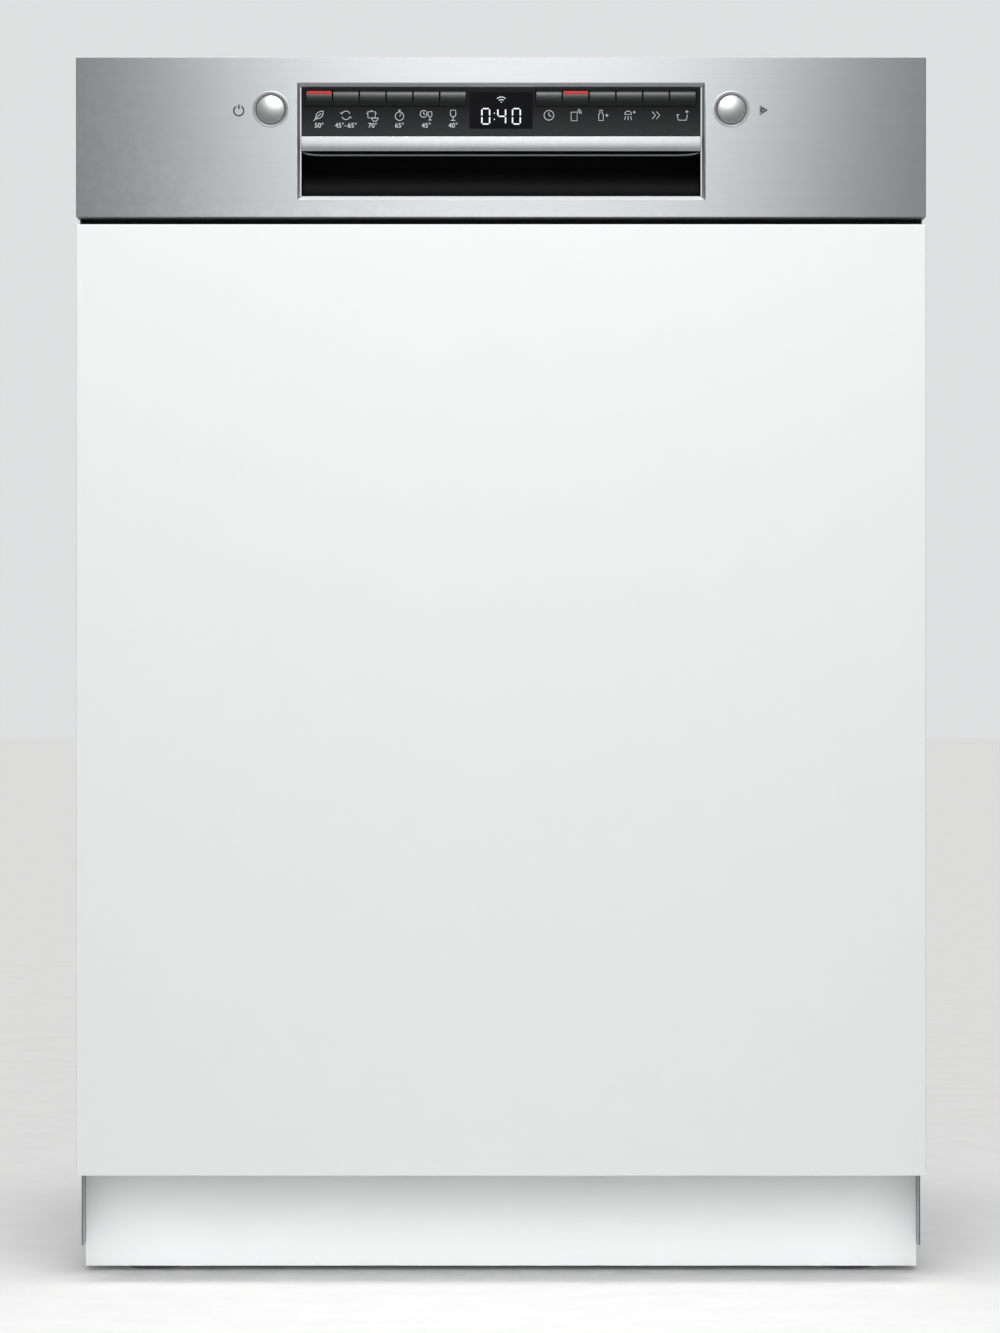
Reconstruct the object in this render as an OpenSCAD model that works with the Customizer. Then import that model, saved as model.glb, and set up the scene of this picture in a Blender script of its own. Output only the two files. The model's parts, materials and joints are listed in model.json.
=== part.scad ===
// Built-in dishwasher for a 600 mm niche, with a steel control fascia above a lacquered furniture front.
// X runs to the right, Y to the rear and Z up. The origin is the middle of the underside.

/* [Appliance] */
// Width over the side panels
body_w = 598; // [598:1:640]
// Height with the feet screwed right in
body_h = 865; // [860:1:925]
// Depth from the furniture front's face to the rear panel
body_d = 573; // [565:1:620]
// Sheet of the side panels, the rear panel and the top plate
panel_t = 0.8; // [0.6:0.1:1.2]
// Gap between pieces that are fixed side by side
fit_gap = 0.2; // [0.1:0.05:0.3]
// Gap between pieces that slide or roll past each other
slide_gap = 0.3; // [0.2:0.05:0.5]
// Radial gap of a shaft or pin in its bore
running_gap = 0.08; // [0.05:0.01:0.1]

/* [Fascia] */
// Width of the fascia and of the furniture front
front_w = 596; // [590:1:597]
// Drop from the top of the body to the fascia's top edge
front_drop = 5; // [4:0.5:10]
// Height of the fascia
fascia_h = 112; // [106:1:125]
// Setback of the fascia's face behind the furniture front's face
fascia_setback = 1; // [0.5:0.5:3]
// Sheet of the fascia
fascia_t = 1; // [0.8:0.1:1.2]
// Depth of the fascia's folded top and side edges
fascia_fold = 40; // [25:1:42]
// Depth of the fascia's folded bottom edge
fascia_foot = 18; // [8:1:18]
// Width of the cut-out for keys and grip
cutout_w = 285.8; // [284:0.2:290]
// Height of the cut-out
cutout_h = 82; // [80:0.5:84]
// Drop from the fascia's top edge to the cut-out
cutout_drop = 17.9; // [16:0.1:20]
// Width of the bevel round the cut-out
rim_bevel = 2.8; // [2:0.1:3.5]
// Depth of the bevelled rim behind the fascia's face
rim_depth = 2.8; // [2:0.1:3.5]
// Wall round the bevelled rim
rim_wall = 3; // [2:0.5:4]

/* [Furniture front] */
// Gap between the fascia and the furniture front
front_gap = 5; // [3:0.5:8]
// Height of the furniture front's lower edge over the floor
furniture_z = 76; // [70:1:95]
// Thickness of the furniture front
furniture_t = 19; // [16:0.5:19]

/* [Panel housing] */
// Wall of the housing
housing_wall = 2.5; // [2:0.1:3]
// Length of the housing beyond each round button's axis
housing_end = 16.5; // [14:0.5:22]
// Overlap of the housing behind the fascia above the cut-out
housing_lip = 4; // [3:0.5:6]
// Depth of the grip pocket behind the fascia's face
pocket_depth = 40; // [34:0.5:42]
// Radius at the back of the pocket's floor
pocket_round = 12; // [6:0.5:14]
// Drop from the fascia's top edge to the handle bar
bar_drop = 55.4; // [54:0.1:57]
// Height of the handle bar
bar_h = 10.2; // [9:0.1:12]
// Depth of the handle bar
bar_depth = 9; // [7:0.1:12]
// Radius of the handle bar's front edges
bar_round = 2.5; // [1:0.1:3.5]

/* [Keys and display] */
// Space between two keys
key_space = 0.8; // [0.6:0.1:2]
// Height of a key
key_h = 10.7; // [9:0.1:12]
// Space between the display window and the first key
key_start = 2.6; // [1.5:0.1:5]
// Space between the last key and the end of the cut-out
key_end = 6.3; // [4:0.1:10]
// Drop from the fascia's top edge to the keys
key_drop = 23.2; // [22.5:0.1:26]
// Distance that a key stands out of the strip
key_proud = 1.5; // [1:0.1:2]
// Gap round a group of keys
key_gap = 0.4; // [0.3:0.05:0.6]
// Travel of a key
key_travel = 1.2; // [0.8:0.1:1.5]
// Width of the square stem behind a key
key_stem = 4; // [3:0.5:6]
// Width of the display window
window_w = 44; // [36:1:46]
// Height of the display window
window_h = 25; // [20:0.5:26]
// Thickness of the display window
window_t = 1.2; // [1:0.1:1.6]
// Drop from the fascia's top edge to the window
window_drop = 24.5; // [23:0.5:26]
// Ledge that the display window sits on
window_ledge = 2; // [1:0.5:3]
// Thickness of the circuit boards
board_t = 1.6; // [1.2:0.1:2]
// Distance of the key board behind the fascia's face
board_depth = 14; // [13:0.5:18]
// Height of a key switch over its board
switch_t = 2.6; // [2:0.1:3]
// Width of a key switch
switch_w = 6; // [5:0.5:8]

/* [Round buttons] */
// Diameter of a round button
button_d = 20; // [18:0.1:20.4]
// Distance of a round button from the end of the cut-out
button_from_end = 18.6; // [17:0.1:22]
// Drop from the fascia's top edge to a round button's centre
button_drop = 36.2; // [33:0.1:38]
// Distance that a round button stands out of the fascia
button_proud = 0.7; // [0.2:0.1:0.9]
// Height of a round button's dome
button_dome = 1.3; // [0.8:0.1:2]
// Length of a round button's head
button_head = 5.7; // [4.5:0.1:7]
// Gap round a round button
button_gap = 0.5; // [0.3:0.05:0.6]
// Travel of a round button
button_travel = 2.5; // [1:0.1:2.8]
// Diameter of the dished ring round a button
dish_d = 24.5; // [24:0.1:27]
// Depth of the dished ring
dish_depth = 1.8; // [1:0.1:2]
// Diameter of a round button's stem
stem_d = 8; // [6:0.5:9]
// Length of a round button's stem
stem_l = 21; // [18:0.5:23]
// Distance of the button guide behind the fascia's face
guide_depth = 10; // [9:0.5:12]
// Length of the button guide's sleeve
guide_l = 12; // [8:0.5:13]
// Wall of the button guide's sleeve
guide_wall = 3; // [2:0.5:4]

/* [Door] */
// Distance of the door's inner face behind the furniture front's face
door_depth = 65; // [62:0.5:66]
// Sheet of the inner door
door_t = 1; // [0.7:0.1:1.2]
// Sheet of the outer door skin
skin_t = 0.8; // [0.6:0.1:1.2]
// Depth of the outer skin's folded sides
skin_fold = 11; // [6:0.5:12]
// Overlap of the outer skin above the furniture front
skin_rise = 2; // [0:0.5:2.5]
// Distance from the furniture front's back to the inner door's edges
pan_gap = 3; // [2.5:0.5:4]
// Height of the inner door's lower edge over the hinge axis
door_rise = 14; // [13.5:0.5:16]

/* [Door hinge] */
// Distance of the hinge axis behind the furniture front's face
hinge_depth = 33; // [31:0.5:34]
// Height of the hinge axis
hinge_z = 118; // [114:0.5:122]
// Diameter of the hinge pins
pin_d = 8; // [6:0.5:10]
// Outer radius of the hinge eyes
ear_r = 11; // [9:0.5:11]
// Thickness of the door arms
arm_t = 5; // [4:0.5:6]
// Height of the door arms over the hinge axis
arm_rise = 120; // [80:5:200]
// Half width of a door arm above its eye
arm_half = 8; // [6:0.5:8]
// Thickness of the hinge brackets
bracket_t = 5; // [4:0.5:6]
// Length of the hinge brackets behind the axis
bracket_l = 147; // [120:1:180]
// Gap between a door arm and its bracket
hinge_gap = 2; // [1:0.5:3]
// Radius of a hinge pin's head
pin_head_r = 6.5; // [6:0.5:8]
// Thickness of a hinge pin's head
pin_head_t = 2; // [1:0.5:3]

/* [Door lock] */
// Width of the door lock
lock_w = 50; // [40:1:60]
// Height of the door lock
lock_h = 21; // [14:1:24]
// Distance of the lock's front behind the furniture front's face
lock_depth = 46; // [45.5:0.5:48]
// Width of the strike hook
strike_w = 16; // [12:1:20]
// Thickness of the strike hook
strike_t = 2.5; // [2:0.1:2.8]
// Length of the strike hook in front of the tub's flange
strike_l = 20; // [14:0.5:21]
// Gap round the strike hook
strike_gap = 1.2; // [1:0.1:1.2]
// Width of the strike's plate
strike_plate_w = 40; // [30:1:60]

/* [Dispenser] */
// Distance of the dispenser's middle from the door's middle
dispenser_x = 20; // [0:1:60]
// Height of the dispenser's middle
dispenser_z = 500; // [470:1:560]
// Width of the dispenser's body
dispenser_w = 170; // [166:1:200]
// Height of the dispenser's body
dispenser_h = 100; // [90:1:140]
// Depth of the dispenser's body inside the door
dispenser_depth = 26; // [24:0.5:34]
// Width of the dispenser's flange outside its opening
dispenser_lip = 8; // [5:0.5:12]
// Thickness of the dispenser's flange
dispenser_lip_t = 1.3; // [1:0.1:1.5]
// Width of the detergent cup
cup_w = 72; // [60:1:76]
// Height of the detergent cup
cup_h = 62; // [50:1:70]
// Depth of the detergent cup
cup_depth = 22; // [16:0.5:22]
// Distance of the cup's middle from the dispenser's middle
cup_x = 34; // [30:1:36]
// Overlap of the lid round the cup
lid_lip = 3; // [2:0.5:4]
// Thickness of the lid
lid_t = 2.5; // [2:0.1:3]
// Distance of the rinse-aid cap from the dispenser's middle
rinse_x = 50; // [48:1:55]
// Diameter of the rinse-aid cap
rinse_d = 36; // [30:1:40]
// Diameter of the rinse-aid cap's neck
rinse_neck_d = 24; // [18:1:26]
// Length of the rinse-aid cap's neck
rinse_neck_l = 10; // [6:0.5:14]

/* [Tub] */
// Distance of the tub's flange behind the furniture front's face
flange_depth = 72; // [71:0.5:74]
// Sheet of the tub
tub_t = 0.8; // [0.6:0.1:1]
// Inside width of the tub
tub_w = 549; // [547:1:552]
// Drop from the top of the body to the tub's ceiling
tub_drop = 20; // [18:1:24]
// Radius of the tub's upper corners
tub_round = 30; // [10:1:40]
// Space between the tub and the rear panel
rear_space = 30; // [26:1:34]
// Rise of the wheel ledges over the open door's inner face
ledge_rise = 0.2; // [0.1:0.05:0.4]
// Depth of the well between the wheel ledges
well_depth = 14.2; // [10:0.2:16]
// Width of the well
well_w = 460; // [440:1:470]
// Depth of the sill in front of the well
sill_depth = 20; // [15:1:30]
// Distance of the flange's lower edge below the ledges
flange_foot = 20.2; // [18:0.2:22]

/* [Door gasket] */
// Distance of the gasket's sides from the tub's opening
seal_out = 3.5; // [2:0.5:5]
// Width of the gasket's sides
seal_w = 9; // [6:0.5:9]
// Distance of the gasket's top strip above the opening
seal_up = 2; // [1.5:0.1:2.2]
// Height of the gasket's top strip
seal_top_h = 4; // [3:0.5:4.5]
// Height of the gasket's bottom strip
seal_foot_h = 12; // [8:0.5:12]
// Distance of the bottom strip below the ledges
seal_foot_drop = 4; // [3:0.1:4.2]

/* [Base] */
// Height of the base pan's underside
base_z = 20; // [16:0.5:24]
// Wall of the base pan
base_wall = 3; // [2.5:0.5:4]
// Depth of the recess for the connections
base_recess = 40; // [34:1:44]
// Clearance between the swinging furniture front and the kick plate
kick_gap = 8.6; // [4:0.2:12]
// Thickness of the kick plate
kick_t = 2; // [1.5:0.5:4]
// Height of the kick plate's lower edge
kick_z = 3; // [2:0.5:10]
// Overlap of the kick plate behind the furniture front
kick_lap = 14; // [4:1:16]
// Width of the posts that carry the tub
post_w = 20; // [14:1:26]
// Distance of the tub posts from the middle
post_x = 252; // [246:1:255]
// Distance of the rear tub posts in front of the recess
post_inset = 25; // [20:1:40]

/* [Feet] */
// Diameter of a foot's pad
pad_d = 40; // [30:1:44]
// Thickness of a foot's pad
pad_t = 8; // [6:0.5:10]
// Diameter of a foot's screw
screw_d = 10; // [8:0.5:12]
// Length of a foot's screw that stays in the base pan at full travel
screw_grip = 28; // [20:1:30]
// Travel of a foot
foot_travel = 60; // [30:1:60]
// Distance of the front feet from the middle
foot_x = 250; // [220:1:265]
// Distance of a foot from the base pan's front or rear wall
foot_inset = 25; // [23:1:40]
// Wall of the bosses that guide the feet
boss_wall = 7; // [5:0.5:10]
// Height of the bosses over the base pan's underside
boss_h = 40; // [30:1:50]
// Diameter of the shaft that turns the rear foot
shaft_d = 8; // [6:0.5:9]
// Height of the shaft's axis over the base pan's underside
shaft_rise = 50; // [46:1:52]

/* [Sump and pumps] */
// Distance of the sump's middle from the spray axis
sump_x = 30; // [26:1:34]
// Diameter of the sump
sump_d = 150; // [144:1:160]
// Wall of the sump
sump_wall = 3; // [2.5:0.5:4]
// Depth of the sump below the well
sump_depth = 58; // [52:1:59]
// Width of the sump's collar
collar_w = 10; // [6:1:14]
// Diameter of the post that carries the lower spray arm
hub_d = 24; // [20:1:26]
// Distance of the micro filter from the spray axis
filter_x = 62; // [60:1:63]
// Diameter of the micro filter
filter_d = 70; // [60:1:70]
// Height of the micro filter below the fine filter
filter_h = 44; // [30:1:44]
// Wall of the micro filter
filter_wall = 2; // [1.5:0.5:3]
// Width of the fine filter
sieve_w = 240; // [210:1:260]
// Depth of the fine filter
sieve_d = 200; // [170:1:220]
// Radius of the fine filter's corners
sieve_round = 24; // [10:1:40]
// Thickness of the fine filter
sieve_t = 2; // [1.5:0.5:3]
// Diameter of the circulation pump
pump_d = 76; // [60:1:78]
// Length of the circulation pump
pump_l = 110; // [90:1:120]
// Diameter of the drain pump
drain_d = 44; // [36:1:48]
// Length of the drain pump
drain_l = 70; // [50:1:80]
// Gap between the sump and each pump
pump_gap = 12; // [8:1:20]
// Diameter of the pumps' ports
port_d = 26; // [20:1:30]
// Thickness of the pumps' cradles
cradle_w = 12; // [8:1:16]

/* [Salt container] */
// Distance of the salt container from the middle
salt_x = 165; // [155:1:180]
// Distance of the salt container in front of the spray axis
salt_y = 100; // [90:1:120]
// Width and depth of the salt container
salt_w = 100; // [80:1:104]
// Height of the salt container
salt_h = 90; // [60:1:95]
// Diameter of the salt container's neck
salt_neck_d = 50; // [40:1:56]
// Diameter of the salt cap
salt_cap_d = 60; // [58:1:64]
// Thickness of the salt cap
salt_cap_t = 8; // [6:0.5:10]

/* [Spray arms] */
// Radius swept by the spray arms
spray_r = 200; // [170:1:203]
// Width of a spray arm at its hub
spray_w = 56; // [44:1:60]
// Width of a spray arm at its tips
spray_tip_w = 34; // [24:1:40]
// Thickness of a spray arm
spray_t = 11; // [8:0.5:12]
// Height of the lower spray arm over the well
spray_rise = 22; // [20:0.5:24]
// Space between the upper spray arm and the feed pipe over it
spray_drop = 1; // [0.5:0.5:4]
// Diameter of the upper spray arm's hub pin
upper_pin_d = 16; // [12:0.5:18]
// Diameter of the feed pipe
pipe_d = 18; // [14:0.5:18]
// Gap between the feed pipe and the tub's rear wall
pipe_gap = 3; // [2:0.5:4]
// Distance of the top sprinkler's pipe below the ceiling
pipe_drop = 14; // [12:1:18]
// Diameter of the top sprinkler
sprinkler_d = 50; // [40:1:60]

/* [Racks] */
// Wire of the racks
wire_d = 3; // [2.5:0.1:4]
// Distance between the racks' wires
wire_pitch = 54; // [40:1:70]
// Gap between pieces of a part that are joined to each other
weld_gap = 0.1; // [0.05:0.05:0.2]
// Width of the racks
rack_w = 504; // [490:1:508]
// Gap between the closed door and the racks
rack_front_gap = 19; // [16:0.5:22]
// Gap between the racks and the tub's rear wall
rack_rear_gap = 26; // [25:0.5:30]
// Height of the lower rack's floor over the wheel ledges
lower_rise = 34.8; // [33:0.2:40]
// Height of the lower rack
lower_h = 200; // [160:1:215]
// Diameter of the rack's wheels
wheel_d = 36; // [32:0.5:38]
// Width of the rack's wheels
wheel_w = 12; // [8:0.5:13]
// Gap between the rack and its wheels
wheel_gap = 4; // [3:0.5:5]
// Diameter of the wheels' axle pins
axle_d = 8; // [6:0.5:9]
// Distance of the wheels from the rack's front and rear
wheel_inset = 50; // [40:1:70]
// Width of the folding tines' row
tine_row_w = 440; // [300:5:470]
// Distance between the tines
tine_pitch = 25; // [20:1:40]
// Wire of the tines
tine_d = 3.5; // [3:0.1:4]
// Height of the tines
tine_h = 90; // [60:1:100]
// Distance of the tines in front of the rack's rear
tine_inset = 190; // [150:1:230]
// Height of the upper rack's floor
upper_z = 460; // [455:1:470]
// Height of the upper rack
upper_h = 165; // [130:1:180]
// Height of the rails over the upper rack's floor
rail_rise = 80; // [60:1:100]
// Height of a rail
rail_h = 24; // [18:1:30]
// Width of a rail
rail_w = 4.6; // [4:0.1:4.7]
// Drop from the tub's ceiling to the cutlery tray's floor
tray_drop = 100; // [90:1:110]
// Height of the cutlery tray
tray_h = 40; // [30:1:50]
// Width of the cutlery tray's runners
runner_w = 9; // [7:0.5:10]
// Thickness of the cutlery tray's runners
runner_t = 4; // [3:0.5:5]

/* [Worktop brackets] */
// Thickness of the worktop brackets
tab_t = 1; // [0.8:0.1:1.5]
// Width of a worktop bracket
tab_w = 30; // [24:1:40]
// Distance of a worktop bracket from the middle
tab_x = 230; // [180:1:260]
// Distance that a bracket reaches in front of the tub's flange
tab_reach = 12; // [10:0.5:14]
// Length of a bracket behind the tub's flange
tab_l = 38; // [25:1:60]
// Diameter of the bracket's screw hole
tab_hole_d = 5; // [4:0.5:6]

/* [Connections] */
// Distance of the water inlet from the middle
inlet_x = 200; // [180:1:230]
// Diameter of the water inlet's thread
inlet_d = 26.4; // [20:0.2:27]
// Bore of the water inlet
inlet_bore = 14; // [10:0.5:16]
// Length of the water inlet's thread
inlet_l = 16; // [12:0.5:17]
// Width of the inlet valve's body
valve_w = 44; // [36:1:50]
// Depth of the inlet valve's body
valve_l = 20; // [16:0.5:20]
// Distance of the drain spigot from the middle
spigot_x = 120; // [100:1:140]
// Diameter of the drain spigot
spigot_d = 20; // [16:0.5:24]
// Bore of the drain spigot
spigot_bore = 14; // [10:0.5:14]
// Length of the drain spigot
spigot_l = 32; // [24:1:32]
// Width of the mains inlet
mains_w = 34; // [30:1:40]
// Height of the mains inlet
mains_h = 26; // [24:1:30]
// Depth of the mains inlet
mains_l = 18; // [14:1:24]
// Height of the connections over the base pan's underside
connection_rise = 55; // [45:1:70]

/* [Hidden] */
$fn = 96;

// Keys in a group
group_keys = 6;
// Overshoot of a cut past the faces that it opens
over = 1;

// Front and rear of the appliance
front_y = -body_d / 2;
rear_y = body_d / 2;
body_half = body_w / 2;
cabinet_half = body_half - panel_t - fit_gap;

// Fascia
fascia_y = front_y + fascia_setback;
fascia_top = body_h - front_drop;
fascia_z = fascia_top - fascia_h;
front_half = front_w / 2;
cutout_top = fascia_top - cutout_drop;
cutout_z = cutout_top - cutout_h;
button_z = fascia_top - button_drop;

// Furniture front
furniture_top = fascia_z - front_gap;
furniture_rear = front_y + furniture_t;

// Panel housing
housing_y = fascia_y + rim_depth + fit_gap;
housing_top = cutout_top + housing_lip;
pocket_w = cutout_w - 2 * rim_bevel;
pocket_z = cutout_z + rim_bevel;
pocket_rear = fascia_y + pocket_depth;
housing_rear = pocket_rear + housing_wall;
bar_top = fascia_top - bar_drop;
shelf_z = bar_top + fit_gap;
strip_rear = housing_y + housing_wall;
cavity_z = shelf_z + housing_wall;
cavity_top = housing_top - housing_wall;
button_x = cutout_w / 2 + button_from_end;
housing_half = button_x + housing_end;
cavity_half = housing_half - housing_wall;
guide_x = button_x - button_d / 2 - guide_wall;
guide_y = fascia_y + guide_depth;

// Keys, display and boards
key_top = fascia_top - key_drop;
key_z = key_top - key_h;
key_pitch = (cutout_w / 2 - key_end - window_w / 2 - key_start + key_space) / group_keys;
key_w = key_pitch - key_space;
key_group_w = (group_keys - 1) * key_pitch + key_w;
key_group_x = window_w / 2 + key_start + key_group_w / 2;
key_y = housing_y - key_proud;
window_top = fascia_top - window_drop;
board_y = fascia_y + board_depth;
switch_y = board_y - switch_t;
button_stem_end = fascia_y - button_proud + button_head + stem_l;
button_switch_y = button_stem_end + button_travel + fit_gap;
button_board_y = button_switch_y + switch_t;

// Door
door_half = front_half - fascia_t - fit_gap;
door_inside = door_half - door_t - fit_gap;
door_y = front_y + door_depth;
door_z = hinge_z + door_rise;
door_top = fascia_top - fascia_t - fit_gap;
pan_y = furniture_rear + pan_gap;
skin_y = furniture_rear + fit_gap;
hinge_y = front_y + hinge_depth;

// Tub. The open door's inner face lies level with the wheel ledges.
flange_y = front_y + flange_depth;
ledge_z = hinge_z + door_depth - hinge_depth + ledge_rise;
well_z = ledge_z - well_depth;
tub_half = tub_w / 2;
tub_top = body_h - tub_drop;
tub_rear = rear_y - rear_space;
tub_back = tub_rear - tub_t;
flange_z = ledge_z - flange_foot;
seal_z = ledge_z - seal_foot_drop - seal_foot_h;
seal_top = tub_top + seal_up + seal_top_h;

// Base. The kick plate stands behind the path of the furniture front's lower edge.
front_sweep = norm([hinge_depth, hinge_z - furniture_z]);
kick_y = hinge_y + front_sweep + kick_gap;
kick_top = furniture_z + kick_lap;
base_y = kick_y + kick_t + fit_gap;
base_rear = rear_y - base_recess;
base_top = flange_z - fit_gap;
base_floor = base_z + base_wall;
// Lower end of the base pan's fittings and walls
fitting_z = base_floor + weld_gap;
screw_top = base_z + foot_travel + screw_grip;
base_inside = cabinet_half - base_wall;
front_wall_top = hinge_z - ear_r - base_wall;
front_foot_y = base_y + foot_inset;
rear_foot_y = base_rear - foot_inset;
shaft_x = screw_d / 2 + shaft_d / 2 + slide_gap;
shaft_z = base_z + shaft_rise;

// Hinge pieces, from the outside in
bracket_out = base_inside - fit_gap;
bracket_in = bracket_out - bracket_t;
arm_out = bracket_in - hinge_gap;
arm_in = arm_out - arm_t;

// Top plate and strike
top_plate_z = body_h - tab_t - fit_gap - panel_t;
strike_z = seal_top + strike_gap + fit_gap;
strike_y = flange_y - strike_l;

// Dispenser
cup_left = dispenser_x - cup_x - cup_w / 2;
flap_y = door_y + dispenser_lip_t + fit_gap;

// Wash system
spray_y = (flange_y + tub_back) / 2;
pipe_y = tub_back - pipe_gap - pipe_d / 2;
sump_z = well_z - tub_t - fit_gap;
lower_arm_z = well_z + spray_rise;
port_z = upper_z - slide_gap - pipe_d / 3;
upper_arm_z = port_z - pipe_d / 3 - spray_drop - spray_t;
sieve_z = well_z + fit_gap;
salt_top = well_z - tub_t - fit_gap;

// Racks
rack_half = rack_w / 2;
rack_y = door_y + rack_front_gap;
rack_rear = tub_back - rack_rear_gap;
lower_z = ledge_z + lower_rise;
wheel_z = ledge_z + slide_gap + wheel_d / 2;
wheel_in = rack_half + wheel_gap;
wheel_out = wheel_in + wheel_w;
tine_y = rack_rear - tine_inset;
tine_z = lower_z + wire_d + slide_gap + tine_d / 2;
rail_out = tub_half - fit_gap;
rail_mid = rail_out - rail_w - slide_gap;
rail_in = rail_mid - rail_w - slide_gap;
rail_z = upper_z + rail_rise;
tray_z = tub_top - tray_drop;
tray_half = tub_half - runner_w - slide_gap - wire_d;

// A box between two values on each axis
module block(x, y, z) {
    translate([x[0], y[0], z[0]]) cube([x[1] - x[0], y[1] - y[0], z[1] - z[0]]);
}

// The children on the right, and their mirror image on the left
module both() {
    children();
    mirror([1, 0, 0]) children();
}

// Round bars along each axis, between two values on that axis
module bar_x(x, y, z, r) {
    translate([x[0], y, z]) rotate([0, 90, 0]) cylinder(r = r, h = x[1] - x[0]);
}

module bar_y(x, y, z, r) {
    translate([x, y[1], z]) rotate([90, 0, 0]) cylinder(r = r, h = y[1] - y[0]);
}

module bar_z(x, y, z, r) {
    translate([x, y, z[0]]) cylinder(r = r, h = z[1] - z[0]);
}

// An outline drawn in Y and Z, drawn out between two values of X
module along_x(x) {
    translate([x[0], 0, 0]) rotate([90, 0, 90]) linear_extrude(x[1] - x[0]) children();
}

// An outline drawn in X and Z, drawn out between two values of Y
module along_y(y) {
    translate([0, y[1], 0]) rotate([90, 0, 0]) linear_extrude(y[1] - y[0]) children();
}

// A rectangle between two corners
module area(a, b) {
    translate(a) square(b - a);
}

// A rectangle between two corners with rounded corners
module round_area(a, b, r) {
    area(a + [r, 0], b - [r, 0]);
    area(a + [0, r], b - [0, r]);
    for (x = [a[0] + r, b[0] - r], z = [a[1] + r, b[1] - r]) translate([x, z]) circle(r);
}

// A flat grid of wires, w by h, as one outline with its openings
module grid(w, h) {
    nx = round((w - wire_d) / wire_pitch);
    nz = max(1, round((h - wire_d) / wire_pitch));
    step = [(w - wire_d) / nx, (h - wire_d) / nz];
    hole = step - [wire_d, wire_d];
    corners = [for (i = [0 : nx - 1], j = [0 : nz - 1]) [wire_d + i * step[0], wire_d + j * step[1]]];
    frame = [[0, 0], [w, 0], [w, h], [0, h]];
    holes = [for (c = corners) each [c, c + [hole[0], 0], c + hole, c + [0, hole[1]]]];
    paths = [for (k = [0 : len(corners)]) [for (m = [0 : 3]) 4 * k + m]];
    polygon(concat(frame, holes), paths);
}

// An open wire basket: a floor and four walls, each its own solid
module basket(half, y, z) {
    w = 2 * half;
    wall_z = z[0] + wire_d + weld_gap;
    wall_h = z[1] - wall_z;
    side = wire_d + weld_gap;
    translate([-half, y[0], z[0]]) linear_extrude(wire_d) grid(w, y[1] - y[0]);
    for (wall_y = [y[0], y[1] - wire_d])
        along_y([wall_y, wall_y + wire_d]) translate([-half, wall_z]) grid(w, wall_h);
    both() along_x([half - wire_d, half])
        translate([y[0] + side, wall_z]) grid(y[1] - y[0] - 2 * side, wall_h);
}

// Stainless fascia with folded edges, a bevelled cut-out and a dished ring round each button
module control_fascia() color("silver") difference() {
    union() {
        block([-front_half, front_half], [fascia_y, fascia_y + fascia_t], [fascia_z, fascia_top]);
        both() block([front_half - fascia_t, front_half], [fascia_y, fascia_y + fascia_fold],
            [fascia_z, fascia_top]);
        block([-front_half, front_half], [fascia_y, fascia_y + fascia_fold],
            [fascia_top - fascia_t, fascia_top]);
        block([-front_half, front_half], [fascia_y, fascia_y + fascia_foot],
            [fascia_z, fascia_z + fascia_t]);
        block([-cutout_w / 2 - rim_wall, cutout_w / 2 + rim_wall], [fascia_y, fascia_y + rim_depth],
            [cutout_z - rim_wall, cutout_top + rim_wall]);
        both() bar_y(button_x, [fascia_y, fascia_y + dish_depth], button_z, dish_d / 2 + fascia_t);
    }
    hull() {
        block([-cutout_w / 2, cutout_w / 2], [fascia_y - over / 100, fascia_y], [cutout_z, cutout_top]);
        block([-pocket_w / 2, pocket_w / 2], [fascia_y + rim_depth, fascia_y + rim_depth + over / 100],
            [pocket_z, cutout_top - rim_bevel]);
    }
    both() bar_y(button_x, [fascia_y, fascia_y + dish_depth + over], button_z, button_d / 2 + button_gap);
    both() translate([button_x, fascia_y, button_z]) rotate([-90, 0, 0])
        cylinder(r1 = dish_d / 2, r2 = button_d / 2 + button_gap, h = dish_depth);
}

// Outline of the grip pocket in Y and Z
module pocket_outline() {
    area([housing_y - over, pocket_z], [pocket_rear - pocket_round, shelf_z]);
    area([housing_y - over, pocket_z + pocket_round], [pocket_rear, shelf_z]);
    translate([pocket_rear - pocket_round, pocket_z + pocket_round]) circle(pocket_round);
}

// Black housing with the key strip, the grip pocket and the button guides
module panel_housing() color("black") difference() {
    union() {
        difference() {
            union() {
                block([-housing_half, housing_half], [housing_y, housing_rear], [shelf_z, housing_top]);
                block([-pocket_w / 2 - housing_wall, pocket_w / 2 + housing_wall],
                    [housing_y, housing_rear], [pocket_z - housing_wall, shelf_z + housing_wall]);
            }
            block([-cavity_half, cavity_half], [strip_rear, housing_rear + over], [cavity_z, cavity_top]);
            along_x([-pocket_w / 2, pocket_w / 2]) pocket_outline();
            both() block([key_group_x - key_group_w / 2 - key_gap, key_group_x + key_group_w / 2 + key_gap],
                [housing_y - over, strip_rear + over], [key_z - key_gap, key_top + key_gap]);
            block([-window_w / 2 - fit_gap, window_w / 2 + fit_gap], [housing_y - over, housing_y + window_t],
                [window_top - window_h - fit_gap, window_top + fit_gap]);
            block([-window_w / 2 + window_ledge, window_w / 2 - window_ledge],
                [housing_y, strip_rear + over],
                [window_top - window_h + window_ledge, window_top - window_ledge]);
            both() bar_y(button_x, [housing_y - over, strip_rear + over], button_z,
                button_d / 2 + button_gap);
        }
        both() block([guide_x, cavity_half + over], [guide_y, guide_y + housing_wall],
            [cavity_z - over, cavity_top + over]);
        both() bar_y(button_x, [guide_y, guide_y + guide_l], button_z, stem_d / 2 + guide_wall);
    }
    both() bar_y(button_x, [guide_y - over, guide_y + guide_l + over], button_z, stem_d / 2 + running_gap);
}

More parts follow.
